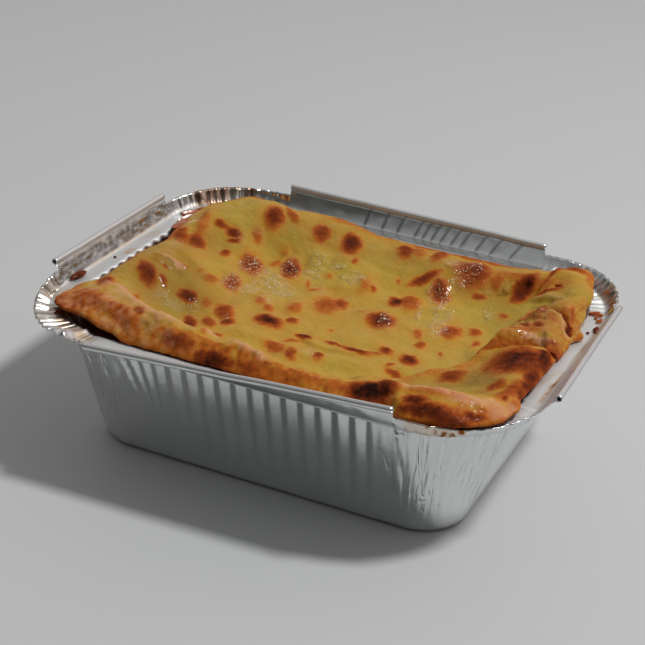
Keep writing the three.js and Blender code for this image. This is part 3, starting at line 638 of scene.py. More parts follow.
def net_grid(rings):
    """Share and place of each point of a square net pulled out to a rounded outline."""
    j, i = np.mgrid[-rings : rings + 1, -rings : rings + 1]
    ring = np.maximum(np.abs(i), np.abs(j))
    safe = np.maximum(ring, 1)
    at = np.where(
        i == ring,
        j / safe,
        np.where(j == ring, 2 - i / safe, np.where(i == -ring, 4 - j / safe, 6 + i / safe)),
    )
    return (ring / rings).ravel(), np.mod(np.where(ring == 0, 0, at), 8).ravel()


def net_faces(rings):
    """Four-sided faces of such a net, facing up."""
    across = 2 * rings + 1
    j, i = np.mgrid[0 : 2 * rings, 0 : 2 * rings]
    a = (j * across + i).ravel()
    return np.stack([a, a + 1, a + across + 1, a + across], axis=1)


def net_edge(rings):
    """Point numbers of the net's outer ring, anticlockwise from its middle right."""
    across = 2 * rings + 1
    k = np.arange(8 * rings)
    at = k / rings
    i = np.select(
        [at < 1, at < 3, at < 5, at < 7],
        [rings + 0 * k, 2 * rings - k, -rings + 0 * k, k - 6 * rings],
        rings,
    )
    j = np.select(
        [at < 1, at < 3, at < 5, at < 7],
        [k, rings + 0 * k, 4 * rings - k, -rings + 0 * k],
        k - 8 * rings,
    )
    return (j + rings) * across + i + rings


def band_faces(ring, following):
    """Faces of the band between two rings of point numbers."""
    after, after_next = np.roll(ring, -1), np.roll(following, -1)
    return np.stack([ring, after, after_next, following], axis=1)


def stack_faces(rows, count):
    """Faces between rings of points that are stored one after another."""
    faces = []
    for k in range(rows - 1):
        ring = k * count + np.arange(count)
        faces += band_faces(ring + count, ring).tolist()
    return faces


def fan_faces(middle, ring):
    """Triangles from a middle point to a ring."""
    return [(middle, int(a), int(b)) for a, b in zip(ring, np.roll(ring, -1))]


def turned_over(faces):
    """The same faces, facing the other way."""
    return [tuple(reversed(face)) for face in faces]


def add_ring(parts, faces, previous, ring):
    """Adds a ring of points and the band that joins it, and returns its point numbers."""
    numbers = sum(len(part) for part in parts) + np.arange(len(ring))
    parts.append(ring)
    faces += band_faces(numbers, previous).tolist()
    return numbers


def close_below(parts, faces, previous, height):
    """Closes the last ring with a middle point at a height, facing down."""
    start = sum(len(part) for part in parts)
    parts.append(np.array([[0.0, 0.0, height]]))
    faces += turned_over(fan_faces(start, previous))


# ------------------------------------------------------------ meshes


def new_object(name, data):
    """An object in the scene, made of a mesh, a light or a camera."""
    made = bpy.data.objects.new(name, data)
    bpy.context.scene.collection.objects.link(made)
    return made


def new_piece(name, points, faces, material):
    """A smooth-shaded object from points in millimetres and lists of faces."""
    mesh = bpy.data.meshes.new(name)
    mesh.from_pydata((np.asarray(points) * MM).tolist(), [], faces)
    mesh.polygons.foreach_set("use_smooth", [True] * len(mesh.polygons))
    mesh.materials.append(material)
    mesh.update()
    return new_object(name, mesh)


def raise_points(mesh, points, lift):
    """Moves a mesh's points along their normals, all in millimetres."""
    normals = np.empty(len(mesh.vertices) * 3)
    mesh.vertices.foreach_get("normal", normals)
    places = points + normals.reshape(-1, 3) * lift[:, None]
    mesh.vertices.foreach_set("co", (places * MM).ravel())
    mesh.update()


def put_values(mesh, **stored):
    """Stores one number, or one vector, for each point under each name."""
    for name, values in stored.items():
        values = np.asarray(values, dtype=float)
        plain = values.ndim == 1
        kind = "FLOAT" if plain else "FLOAT_VECTOR"
        attribute = mesh.attributes.new(name, kind, "POINT")
        attribute.data.foreach_set("value" if plain else "vector", values.ravel())


def give_gauge(piece, thickness, offset):
    """Gives a skin of foil its thickness in millimetres."""
    gauge = piece.modifiers.new("foil_gauge", "SOLIDIFY")
    gauge.thickness = thickness * MM
    gauge.offset = offset


def settle(piece, slot, *nodes):
    """Makes the live modifiers part of the mesh, hangs the piece on the body and hides the solids
    it replaces; its slot is not used.
    """
    graph = bpy.context.evaluated_depsgraph_get()
    mesh = bpy.data.meshes.new_from_object(piece.evaluated_get(graph))
    piece.modifiers.clear()
    piece.data = mesh
    mesh.name = piece.name
    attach(piece, BODY)
    if nodes:
        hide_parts(*nodes)


# ------------------------------------------------------------ node trees


def connect(tree, node, values):
    """Links or sets a node's inputs, by name or number."""
    for name, value in values.items():
        if isinstance(value, bpy.types.NodeSocket):
            tree.links.new(value, node.inputs[name])
        else:
            node.inputs[name].default_value = value


def add_node(tree, kind, inputs=None, **settings):
    """Adds a node, with its settings and with its inputs set or linked."""
    node = tree.nodes.new(kind)
    for name, value in settings.items():
        setattr(node, name, value)
    connect(tree, node, inputs or {})
    return node


def maths(tree, operation, *values, clamp=False):
    """A Math node's output."""
    inputs = dict(enumerate(values))
    kind = "ShaderNodeMath"
    return add_node(tree, kind, inputs, operation=operation, use_clamp=clamp).outputs[0]


def vector_maths(tree, operation, *values):
    """A Vector Math node's output."""
    inputs = dict(enumerate(values))
    return add_node(tree, "ShaderNodeVectorMath", inputs, operation=operation).outputs[0]


def scaled(tree, vector, factor):
    """A vector or colour times a number."""
    inputs = {"Vector": vector, "Scale": factor}
    return add_node(tree, "ShaderNodeVectorMath", inputs, operation="SCALE").outputs[0]


def ridged(tree, value):
    """How far a noise value is from its middle."""
    return maths(tree, "ABSOLUTE", maths(tree, "SUBTRACT", value, 0.5))


def eased_range(tree, value, low, high):
    """An eased step from 0 at low to 1 at high."""
    inputs = {"Value": value, "From Min": low, "From Max": high}
    kind = "ShaderNodeMapRange"
    return add_node(tree, kind, inputs, interpolation_type="SMOOTHSTEP").outputs["Result"]


def mix_colours(tree, factor, first, second):
    """A Mix node for colours, whose inputs 0, 6 and 7 are the factor and the two colours."""
    inputs = {0: factor, 6: first, 7: second}
    return add_node(tree, "ShaderNodeMix", inputs, data_type="RGBA").outputs[2]


def object_place(tree):
    """Place on the object, read in a material."""
    return add_node(tree, "ShaderNodeTexCoord").outputs["Object"]


def noise_value(tree, place, scale, detail=2.0, dimensions="3D", **more):
    """A noise texture's value, from 0 to 1."""
    inputs = {"Vector": place, "Scale": scale, "Detail": detail, **more}
    kind = "ShaderNodeTexNoise"
    return add_node(tree, kind, inputs, noise_dimensions=dimensions).outputs["Fac"]


def bumped(tree, height, depth=MM):
    """Normal of a surface raised by a height, which counts in depths."""
    inputs = {"Strength": 1.0, "Distance": depth, "Height": height}
    return add_node(tree, "ShaderNodeBump", inputs).outputs["Normal"]


def named_value(tree, name, kind="FLOAT"):
    """A stored value, read in a geometry tree."""
    node = add_node(tree, "GeometryNodeInputNamedAttribute", {"Name": name}, data_type=kind)
    return node.outputs["Attribute"]


def surface_value(tree, name):
    """A stored value, read in a material."""
    return add_node(tree, "ShaderNodeAttribute", attribute_name=name).outputs["Fac"]


SOCKET_KINDS = {float: "NodeSocketFloat", int: "NodeSocketInt", tuple: "NodeSocketColor"}


def new_group(kind, name, output, **inputs):
    """A node group whose inputs have a default or, without one, the kind of their socket."""
    tree = bpy.data.node_groups.new(name, kind)
    for label, value in inputs.items():
        bare = isinstance(value, str)
        socket = value if bare else SOCKET_KINDS[type(value)]
        label = label.replace("_", " ").title()
        made = tree.interface.new_socket(name=label, in_out="INPUT", socket_type=socket)
        if not bare:
            made.default_value = value
    label, socket = output
    tree.interface.new_socket(name=label, in_out="OUTPUT", socket_type=socket)
    return tree, tree.nodes.new("NodeGroupInput").outputs, tree.nodes.new("NodeGroupOutput")


def geometry_group(name, **inputs):
    """A geometry tree with a material among its inputs."""
    inputs["material"] = "NodeSocketMaterial"
    output = ("Geometry", "NodeSocketGeometry")
    return new_group("GeometryNodeTree", name, output, **inputs)


def end_group(tree, given, made, geometry):
    """Realizes, smooths and gives a material to what a geometry tree has made."""
    real = add_node(tree, "GeometryNodeRealizeInstances", {"Geometry": geometry})
    eased = add_node(tree, "GeometryNodeSetShadeSmooth", {"Geometry": real.outputs[0]})
    inputs = {"Geometry": eased.outputs[0], "Material": given["Material"]}
    end = add_node(tree, "GeometryNodeSetMaterial", inputs)
    connect(tree, made, {"Geometry": end.outputs["Geometry"]})
    return tree


def add_tree(piece, tree, **values):
    """Puts a geometry tree on a piece, with its named inputs set."""
    values = {label.replace("_", " ").title(): value for label, value in values.items()}
    modifier = piece.modifiers.new(tree.name, "NODES")
    modifier.node_group = tree
    for item in tree.interface.items_tree:
        if item.item_type == "SOCKET" and item.in_out == "INPUT" and item.name in values:
            modifier[item.identifier] = values[item.name]


def new_material(name):
    """A material with its node tree and its shader."""
    material = bpy.data.materials.new(name)
    material.use_nodes = True
    tree = material.node_tree
    return material, tree, tree.nodes["Principled BSDF"]


def linear(red, green, blue):
    """A colour on the screen, from 0 to 255, as an opaque surface colour."""
    values = []
    for v in (red, green, blue):
        v = v / 255
        values.append(v / 12.92 if v <= 0.04045 else ((v + 0.055) / 1.055) ** 2.4)
    return (*values, 1.0)


def rgba(colour):
    """A colour with full opacity."""
    return (colour[0], colour[1], colour[2], 1.0)


# ------------------------------------------------------------ materials

CRUST_COLOURS = (
    (0.12, (194, 128, 40)),
    (0.24, (184, 101, 32)),
    (0.36, (160, 76, 25)),
    (0.5, (134, 58, 20)),
    (0.64, (106, 42, 16)),
    (0.8, (60, 23, 10)),
)


def browning_group():
    """Colour of cheese and crust from how brown, warm, dull and pale each point is; pale mixes in a
    painted pink highlight, and dull is partly painted shade.
    """
    tree, given, made = new_group(
        "ShaderNodeTree",
        "browning",
        ("Color", "NodeSocketColor"),
        brown=0.0,
        warm=0.0,
        dull=0.0,
        pale=0.0,
        cool_cheese=linear(157, 141, 66),
        warm_cheese=linear(180, 126, 48),
        light=1.0,
    )
    place = object_place(tree)
    mottle = noise_value(tree, place, 420.0, 4.0, Roughness=0.6)
    cloud = noise_value(tree, place, 110.0, 3.0)
    mottled = maths(tree, "MULTIPLY_ADD", mottle, 1.1, 0.45)
    brown = maths(tree, "MULTIPLY", given["Brown"], mottled)
    clouded = maths(tree, "MULTIPLY_ADD", cloud, 1.5, -0.78)
    warm = maths(tree, "ADD", given["Warm"], clouded, clamp=True)
    cheese = mix_colours(tree, warm, given["Cool Cheese"], given["Warm Cheese"])
    ramp = add_node(tree, "ShaderNodeValToRGB", {"Fac": maths(tree, "DIVIDE", brown, 1.7)})
    elements = ramp.color_ramp.elements
    elements[0].color = linear(196, 150, 50)
    elements[1].color = linear(34, 14, 8)
    for position, colour in CRUST_COLOURS:
        elements.new(position).color = linear(*colour)
    covered = eased_range(tree, brown, 0.03, 0.38)
    colour = mix_colours(tree, covered, cheese, ramp.outputs["Color"])
    # Dull darkens the colour: partly the cheese's greyer tone, partly painted shade.
    shade = maths(tree, "MULTIPLY_ADD", given["Dull"], -0.33, 1.0)
    colour = scaled(tree, colour, shade)
    # Pale is a painted highlight: a light pink mixed in along lit crests and the flap's roll.
    pale = maths(tree, "MULTIPLY", given["Pale"], mottled, clamp=True)
    colour = mix_colours(tree, pale, colour, linear(214, 160, 122))
    connect(tree, made, {"Color": scaled(tree, colour, given["Light"])})
    return tree


def skin_group():
    """Height of a baked skin in millimetres: its grain, its wet beads and its blisters."""
    height = ("Height", "NodeSocketFloat")
    tree, given, made = new_group(
        "ShaderNodeTree", "baked_skin", height, grain_size=1.1, wet=0.0, blister=0.0
    )
    place = object_place(tree)
    per_metre = maths(tree, "DIVIDE", 1000.0, given["Grain Size"])
    grain = noise_value(tree, place, per_metre, Roughness=0.45)
    slow = noise_value(tree, place, maths(tree, "MULTIPLY", per_metre, 0.33))
    dome = noise_value(tree, place, maths(tree, "MULTIPLY", per_metre, 0.62), 0.0)
    rough = noise_value(tree, place, maths(tree, "MULTIPLY", per_metre, 1.5))
    height = maths(tree, "MULTIPLY", grain, 0.2)
    height = maths(tree, "MULTIPLY_ADD", slow, 0.34, height)
    wet = maths(tree, "MULTIPLY", dome, given["Wet"])
    height = maths(tree, "MULTIPLY_ADD", wet, 0.55, height)
    rough = maths(tree, "MULTIPLY", ridged(tree, rough), given["Blister"])
    height = maths(tree, "MULTIPLY_ADD", rough, -0.8, height)
    connect(tree, made, {"Height": height})
    return tree


def cheese_material():
    """Baked cheese: browning, fine skin and a coat of fat, which is dry where it burnt."""
    known = bpy.data.materials.get("baked_cheese")
    if known:
        return known
    settings = bpy.context.scene.tray_food
    material, tree, shader = new_material("baked_cheese")
    stored = ("Brown", "Warm", "Dull", "Pale")
    values = {label: surface_value(tree, label.lower()) for label in stored}
    values["Cool Cheese"] = rgba(settings.cool_cheese)
    values["Warm Cheese"] = rgba(settings.warm_cheese)
    values["Light"] = settings.lightness
    colours = add_node(tree, "ShaderNodeGroup", node_tree=browning_group())
    connect(tree, colours, values)
    greasy = surface_value(tree, "fat")
    skin = add_node(tree, "ShaderNodeGroup", node_tree=skin_group())
    blister = surface_value(tree, "blister")
    connect(tree, skin, {"Grain Size": CHEESE_GRAIN, "Wet": greasy, "Blister": blister})
    burnt = eased_range(tree, surface_value(tree, "brown"), 0.15, 0.75)
    rough = maths(tree, "MULTIPLY_ADD", burnt, 0.36, 0.46)
    dry = maths(tree, "MULTIPLY_ADD", burnt, -0.85, 1.0)
    coat = maths(tree, "MULTIPLY_ADD", greasy, 0.4, 0.06, clamp=True)
    values = {
        "Base Color": colours.outputs["Color"],
        "Roughness": maths(tree, "MULTIPLY_ADD", greasy, -0.24, rough),
        "Normal": bumped(tree, skin.outputs["Height"]),
        "Coat Weight": maths(tree, "MULTIPLY", coat, dry),
        "Specular IOR Level": 0.09,
        "Coat IOR": FAT_SHINE,
        "Coat Roughness": 0.13,
        "Subsurface Weight": 0.1,
        "Subsurface Scale": 0.002,
        "Subsurface Radius": (1.0, 0.5, 0.15),
    }
    connect(tree, shader, values)
    return material


def foil_material():
    """Thin aluminium foil with small crinkles, pressed dents with painted shade along them, a
    painted dark reflection band low on the left flange, and fat stains that partly paint
    reflections of the food.
    """
    known = bpy.data.materials.get("aluminium_foil")
    if known:
        return known
    settings = bpy.context.scene.tray_foil
    material, tree, shader = new_material("aluminium_foil")
    place = object_place(tree)
    cloud = noise_value(tree, place, 60.0, 3.0)
    dull = rgba([0.86 * v for v in settings.foil_colour])
    metal = mix_colours(tree, cloud, rgba(settings.foil_colour), dull)
    stain = surface_value(tree, "stain")
    blotch = noise_value(tree, place, 300.0, 4.0)
    stained = maths(tree, "MULTIPLY", stain, maths(tree, "MULTIPLY_ADD", blotch, 1.6, 0.1))
    stained = maths(tree, "MINIMUM", stained, 1.0)
    thick = eased_range(tree, stained, 0.35, 0.9)
    # The stain colours are partly painted reflection: gold and brown where the foil's pleats and
    # crinkles mirror the crust.
    stain_and_reflection_tint = mix_colours(tree, thick, linear(205, 160, 92), linear(138, 78, 26))
    colour = mix_colours(tree, stained, metal, stain_and_reflection_tint)
    rough = maths(tree, "MULTIPLY_ADD", cloud, 0.12, settings.roughness)
    rough = maths(tree, "MULTIPLY_ADD", surface_value(tree, "satin"), 0.42, rough)
    crinkle = noise_value(tree, place, 240.0, 5.0, Roughness=0.55)
    folded = add_node(tree, "ShaderNodeAttribute", attribute_name="folded_place")
    stretched = vector_maths(tree, "MULTIPLY", folded.outputs["Vector"], (0.2, 0.05, 0.0))
    streak = ridged(tree, noise_value(tree, stretched, 1.0, Distortion=0.8))
    streak = maths(tree, "MULTIPLY", streak, 20.0, clamp=True)
    streak = maths(tree, "MULTIPLY", streak, surface_value(tree, "crease"))
    streak = maths(tree, "MULTIPLY", streak, 0.16)
    height = maths(tree, "MULTIPLY_ADD", crinkle, 0.06, streak)
    # The dent value presses a shallow bump and also darkens the colour: painted shade along the
    # back dent lines, and a painted dark reflection band on the left flange.
    dent = maths(tree, "DIVIDE", surface_value(tree, "dent"), DENT_REACH)
    dent = maths(tree, "MAXIMUM", maths(tree, "SUBTRACT", 1.0, dent), 0.0)
    height = maths(tree, "MULTIPLY_ADD", dent, -0.16, height)
    dent_painted_shade = maths(tree, "MULTIPLY_ADD", dent, -0.7, 1.0)
    values = {
        "Base Color": scaled(tree, colour, dent_painted_shade),
        "Metallic": 1.0,
        "Roughness": rough,
        "Normal": bumped(tree, height),
    }
    connect(tree, shader, values)
    return material


def filling_material():
    """Minced meat in dark baked sauce."""
    material, tree, shader = new_material("meat_filling")
    crumbly = noise_value(tree, object_place(tree), 380.0, 5.0, Roughness=0.65)
    ramp = add_node(tree, "ShaderNodeValToRGB", {"Fac": crumbly})
    colours = ((0.3, (96, 46, 24)), (0.72, (176, 98, 48)))
    for element, (position, colour) in zip(ramp.color_ramp.elements, colours):
        element.position = position
        element.color = linear(*colour)
    values = {
        "Base Color": ramp.outputs["Color"],
        "Roughness": maths(tree, "MULTIPLY_ADD", crumbly, 0.4, 0.25),
        "Normal": bumped(tree, crumbly, 0.5 * MM),
    }
    connect(tree, shader, values)
    return material


def fat_glint_material():
    """Set fat: cream beads, the palest near white as a painted glint, with a wet shine."""
    material, tree, shader = new_material("set_fat")
    cloud = noise_value(tree, object_place(tree), 900.0, 1.0)
    part = eased_range(tree, cloud, 0.46, 0.66)
    values = {
        # Painted glint: the near-white part of the bead colour.
        "Base Color": mix_colours(tree, part, linear(200, 158, 84), linear(250, 244, 222)),
        "Roughness": maths(tree, "MULTIPLY_ADD", part, -0.1, 0.3),
        "Coat Weight": 1.0,
        "Coat Roughness": 0.12,
        "Coat IOR": FAT_SHINE,
    }
    connect(tree, shader, values)
    return material


def sauce_material():
    """Thin dark orange-red tomato sauce."""
    material, tree, shader = new_material("tomato_sauce")
    cloud = noise_value(tree, object_place(tree), 420.0, 3.0)
    values = {
        "Base Color": mix_colours(tree, cloud, linear(184, 86, 16), linear(88, 28, 8)),
        "Roughness": maths(tree, "MULTIPLY_ADD", cloud, 0.2, 0.15),
    }
    connect(tree, shader, values)
    return material


# ------------------------------------------------------------ the tray


def tray_stations():
    """Places round the tray: side, along it from -1 to 1, turn in the corner, and distance."""
    side, along, turn, distance = [], [], [], []
    gone = 0.0
    for n in range(4):
        half = (LEDGE_OUTER[0] if n % 2 else LEDGE_OUTER[1]) - LEDGE_CORNER_RADIUS
        count = int(round(2 * half / STATION_STEP))
        line = np.linspace(-1, 1, count + 1)
        side += [n] * len(line)
        along += list(line)
        turn += [0.0] * len(line)
        distance += list(gone + (line + 1) * half)
        gone += 2 * half
        arc = LEDGE_CORNER_RADIUS * math.pi / 2
        count = int(round(arc / STATION_STEP))
        bends = np.concatenate([[0.12 / count], np.arange(1, count) / count])
        side += [n] * len(bends)
        along += [1.0] * len(bends)
        turn += list(bends * math.pi / 2)
        distance += list(gone + bends * arc)
        gone += arc
    return np.array(side), np.array(along), np.array(turn), np.array(distance)


def station_point(stations, rect, outwards):
    """Points of a rounded rectangle at the stations, moved outwards: x and y."""
    side, along, turn, _ = stations
    half_x, half_y, radius = rect
    swapped = side % 2 == 1
    out = np.where(swapped, half_y, half_x) - radius
    across = np.where(swapped, half_x, half_y) - radius
    u = out + (radius + outwards) * np.cos(turn)
    v = along * across + (radius + outwards) * np.sin(turn)
    facing = side * np.pi / 2
    return u * np.cos(facing) - v * np.sin(facing), u * np.sin(facing) + v * np.cos(facing)


def rim_offset(stations):
    """How far the top of the flange or rim stands out and up from the ledge's edge."""
    side, along, turn, _ = stations
    leans = np.radians(np.array(FLANGE_LEANS))
    corners = np.array(CORNER_RIMS)

    def stands(lean, width):
        return np.stack([width * np.sin(lean), width * np.cos(lean)])

    share = (along + 1) / 2
    straight = lerp(
        stands(leans[side, 0], FLANGE_WIDTH), stands(leans[side, 1], FLANGE_WIDTH), share
    )
    middle = stands(np.radians(corners[side, 0]), corners[side, 1])
    start = stands(leans[side, 1], FLANGE_WIDTH * RIM_DROP)
    end = stands(leans[(side + 1) % 4, 0], FLANGE_WIDTH * RIM_DROP)
    part = turn / (np.pi / 4)
    bend = np.where(
        part < 1, lerp(start, middle, smooth(part)), lerp(middle, end, smooth(part - 1))
    )
    return np.where(turn == 0, straight, bend)


def flute_phase(stations, z):
    """Number of flutes passed, which fan out near the front left corner."""
    side, along, _, distance = stations
    front_x = along * (LEDGE_OUTER[0] - LEDGE_CORNER_RADIUS)
    fan = 0.42 * (LEDGE_HEIGHT - z) * smooth((-27 - front_x) / 14)
    on_front = (front_x - fan - FLUTE_START) / FLUTE_PITCH
    return np.where(side == 3, on_front, distance / FLUTE_PITCH)


def dent_slant(middle):
    """How far a dent of the back flange leans along it, in millimetres."""
    return 1.8 + 0.05 * middle


def dent_gap(x, z):
    """Distance to the nearest dent line of the back flange, in millimetres."""
    share = (z - LEDGE_HEIGHT) / BACK_FLANGE_RISE
    gaps = [np.abs(x - d[0] - dent_slant(d[0]) * (share - 0.5)) for d in BACK_DENTS]
    out = np.abs(share - 0.45) - 0.3
    return np.minimum(np.min(gaps, axis=0) + 1.6 * np.maximum(out, 0), NO_DENT)


def dented(stations, share):
    """How far the flange and rim stand out of their plain shape, in millimetres."""
    side, along, turn, distance = stations
    uneven = 0.3 * layered(distance, 9.0 * share, 0.0, 16.0, 101, 2)
    uneven = uneven + 0.12 * layered(distance, 9.0 * share, 5.0, 4.0, 105, 2)
    back_x = -along * (LEDGE_OUTER[0] - LEDGE_CORNER_RADIUS)
    dents = 0.0
    for middle, width, depth in BACK_DENTS:
        gap = (back_x - middle - dent_slant(middle) * (share - 0.5)) / width
        hollow = np.where(gap < 0, np.exp(-8 * gap**2), np.exp(-0.9 * gap**2))
        dents = dents - 0.7 * depth * hollow
    on_back = np.where((side == 1) & (turn == 0), 1.0, 0.0)
    on_left = np.where((side == 2) & (turn == 0), 1.0, 0.0)
    reach = math.sin(min(1.0, 1.2 * share) * math.pi)
    fold = 0.2 * math.exp(-(((share - 0.7) / 0.16) ** 2))
    crinkled = 0.2 * layered(distance, 12.0 * share, 9.0, 2.2, 109, 2) * reach
    uneven = uneven + on_left * (crinkled - fold)
    return share * uneven + on_back * dents * reach


def tray_rows(stations):
    """Rows of the tray's skin from base to rim: x, y, z, flute, crease and pleat."""
    side, along, turn, _ = stations
    ledge_z = LEDGE_HEIGHT - FOIL / 2
    straight = np.where(turn == 0, smooth((1 - np.abs(along)) * 7), 0.0)
    straight = straight * np.where(side == 3, smooth((0.86 - along) * 9), 1.0)
    corner = np.where(turn > 0, 1.0, smooth((np.abs(along) - 0.8) / 0.2))
    bend = np.where(turn > 0, smooth(np.sin(2 * turn) * 2.5), 0.0)
    bend = bend * np.array([1.0, 1.0, 1.3, 0.4])[side]
    rows = []

    def row(rect, outwards, z, flute, crease, pleat):
        x, y = station_point(stations, rect, outwards)
        z = z + 0 * x
        rows.append((x, y, z, flute * straight, crease * corner, pleat * bend))

    base = tuple(v - BASE_EDGE for v in BASE_RECT)
    for scale, z in ((0.4, 0.5), (0.9, 0.5), (0.94, 0.12), (0.97, 0.0), (1.0, 0.0)):
        x, y = station_point(stations, base, 0)
        zeros = 0 * x
        rows.append((x * scale, y * scale, z + zeros, zeros, zeros, zeros))
    row(BASE_RECT, -0.95, 0.22, 0, 0.05, 0)
    row(BASE_RECT, -0.3, 0.8, 0, 0.1, 0)
    for share in (0.045, 0.08, 0.14, 0.21, 0.28, 0.35, 0.42, 0.49, 0.56, 0.63, 0.7, 0.77):
        depth = 0.12 + 0.88 * np.interp(share, [0.045, 0.4, 0.96], [0, 0.4, 1])
        row(wall_rect(share), 0, share * ledge_z, depth, 0.2 + 0.8 * share, 0)
    for share in (0.83, 0.88, 0.92, 0.95, 0.97):
        depth = np.interp(share, [0.4, 0.96], [0.4, 1])
        row(wall_rect(share), 0, share * ledge_z, depth, 0.2 + 0.8 * share, 0)
    inner = LEDGE_INNER
    for out, down, flute in ((0.02, 0.5, 0.85), (0.18, 0.15, 0.45), (0.5, 0, 0.2)):
        row(inner, out, ledge_z - down, flute, 0.5, 0.3)
    for out, flute in ((0.9, 0.08), (1.5, 0), (2.4, 0), (3.3, 0), (4.2, 0), (4.9, 0)):
        row(inner, out, ledge_z, flute, 0.2, 0.4 + 0.1 * out)
    rim_out, rim_up = rim_offset(stations)
    row(LEDGE_OUTER, 0.03 * rim_out, ledge_z + 0.04 * rim_up, 0, 0.2, 0.9)
    normal_out, normal_up = rim_up, -rim_out
    length = np.hypot(rim_out, rim_up)
    for share in (0.14, 0.28, 0.42, 0.56, 0.7, 0.85, 1.0):
        hollow = 0.25 * math.sin(share * math.pi) * (side != 2) + dented(stations, share)
        out = rim_out * share + hollow * normal_out / length
        up = rim_up * share + hollow * normal_up / length
        row(LEDGE_OUTER, out, ledge_z + up, 0, 0.1, 1)
    return rows


def fold_group():
    """Presses the flutes, the corner creases and the rim pleats into the tray's plain skin."""
    tree, given, made = geometry_group(
        "flute_folds",
        skin="NodeSocketGeometry",
        flute_depth=FLUTE_DEPTH,
        crease_depth=PLEAT_DEPTH,
        pleat_depth=PLEAT_DEPTH,
        crinkle=CRINKLE,
        seed=CRINKLE_SEED,
    )
    phase = maths(tree, "FRACT", named_value(tree, "phase"))
    curve = add_node(tree, "ShaderNodeFloatCurve", {"Value": phase})
    points = curve.mapping.curves[0].points
    points[-1].location = (1.0, 0.0)
    points.new(0.4, 0.93)
    points.new(0.48, 0.97)
    for point in points:
        point.handle_type = "VECTOR"
    curve.mapping.update()
    wave = maths(tree, "MULTIPLY_ADD", curve.outputs[0], 2.0, -1.0)

    folded = named_value(tree, "folded_place", "FLOAT_VECTOR")
    spacing = (1 / CREASE_SPACING[0], 1 / CREASE_SPACING[1], 0.0)
    along = vector_maths(tree, "MULTIPLY", folded, spacing)
    creasing = noise_value(tree, along, 1.0, 1.5, "4D", W=given["Seed"])
    ridge = maths(tree, "MULTIPLY", ridged(tree, creasing), 8.0, clamp=True)
    ridge = maths(tree, "SUBTRACT", ridge, 1.0)
    swell = maths(tree, "SUBTRACT", creasing, 0.5)
    crease = maths(tree, "MULTIPLY_ADD", swell, 4.0, ridge)

    around = add_node(tree, "ShaderNodeSeparateXYZ", {"Vector": folded}).outputs["X"]
    pleat = 1.0
    for spacing, depth in PLEATS:
        inputs = {"W": maths(tree, "DIVIDE", around, spacing), "Scale": 1.0, "Randomness": 1.0}
        kind = {"voronoi_dimensions": "1D", "feature": "F1"}
        cells = add_node(tree, "ShaderNodeTexVoronoi", inputs, **kind)
        pleat = maths(tree, "MULTIPLY_ADD", cells.outputs["Distance"], depth, pleat)

    heights = []
    for height, name in ((wave, "Flute"), (crease, "Crease"), (pleat, "Pleat")):
        height = maths(tree, "MULTIPLY", height, named_value(tree, name.lower()))
        heights.append(maths(tree, "MULTIPLY", height, given[name + " Depth"]))
    wave, crease, pleat = heights

    place = add_node(tree, "GeometryNodeInputPosition").outputs[0]
    dent = noise_value(tree, place, 90.0, 3.0, "4D", W=2.0)
    dent = maths(tree, "SUBTRACT", dent, 0.5)
    dent = maths(tree, "MULTIPLY", dent, given["Crinkle"])
    normal = add_node(tree, "GeometryNodeInputNormal").outputs[0]
    outward = named_value(tree, "outward", "FLOAT_VECTOR")
    loose = maths(tree, "ADD", maths(tree, "ADD", crease, dent), pleat)
    flutes = scaled(tree, outward, maths(tree, "MULTIPLY", wave, MM))
    folds = scaled(tree, normal, maths(tree, "MULTIPLY", loose, MM))
    inputs = {"Geometry": given["Skin"], "Offset": vector_maths(tree, "ADD", flutes, folds)}
    moved = add_node(tree, "GeometryNodeSetPosition", inputs)
    return end_group(tree, given, made, moved.outputs["Geometry"])


# Fat and sauce stains of the foil, partly standing in for painted gold and brown reflections of the
# food in its pleats and crinkles: x, y, half lengths along and across, turn, strength.
STAINS_AND_PAINTED_REFLECTIONS = (
    (-73.6, 2, 34, 0.4, 90, 0.42),
    (-70, 0, 3, 1.2, 78, 0.5),
    (-71, 16, 5, 1.5, 80, 0.3),
    (70, -13, 7, 1.2, 75, 0.32),
    (73, -17, 11, 0.7, 88, 0.9),
    (74, 13, 12, 0.6, 86, 0.6),
    (-59, -55, 6, 2.4, -35, 0.75),
    (-66, -49, 5, 3, -50, 0.35),
    (-73, -40, 9, 4, 75, 0.35),
    (-70, -56, 14, 5, -50, 0.34),
    (-53, -57, 7, 2.4, -15, 0.7),
    (-76.6, -3, 36, 1.6, 90, 0.26),
    (-68, 52, 10, 3.4, 60, 0.8),
    (-60, 62, 16, 3.4, 25, 0.95),
    (74, 47, 8, 4.0, -50, 0.65),
    (68, 34, 4, 2.5, 60, 0.4),
    (54, -60, 8, 2.0, 20, 0.4),
)

# Dried drips on the outside of the front right corner: x, y, z and reach.
DRIPS = (
    (57.0, -58.6, 41.6, 0.9),
    (58.9, -57.4, 41.0, 0.9),
    (55.2, -59.6, 42.2, 0.6),
    (60.9, -56.2, 42.4, 0.8),
    (53.2, -60.9, 43.4, 0.4),
)


def stain_and_painted_reflection_on(x, y, z):
    """How strongly the foil is stained, over the ledge and down the drips; the stain colour partly
    paints reflections of the food.
    """
    ragged = 0.35 * layered(x, y, 0.0, 5.0, 61)
    amount = 0.0
    for spot in STAINS_AND_PAINTED_REFLECTIONS:
        near = smooth(1.4 - ellipse_distance(x, y, spot) + ragged)
        amount = np.maximum(amount, spot[5] * near)
    amount = amount * (z > STAIN_FLOOR)
    for drip_x, drip_y, drip_z, reach in DRIPS:
        away = np.stack([x - drip_x, 0.6 * (y - drip_y), 0.7 * (z - drip_z)])
        gap = np.linalg.norm(away, axis=0) + 0.4 * layered(x, y, z, 1.6, 67, 2)
        amount = np.maximum(amount, smooth(1.5 - gap / reach))
    return amount


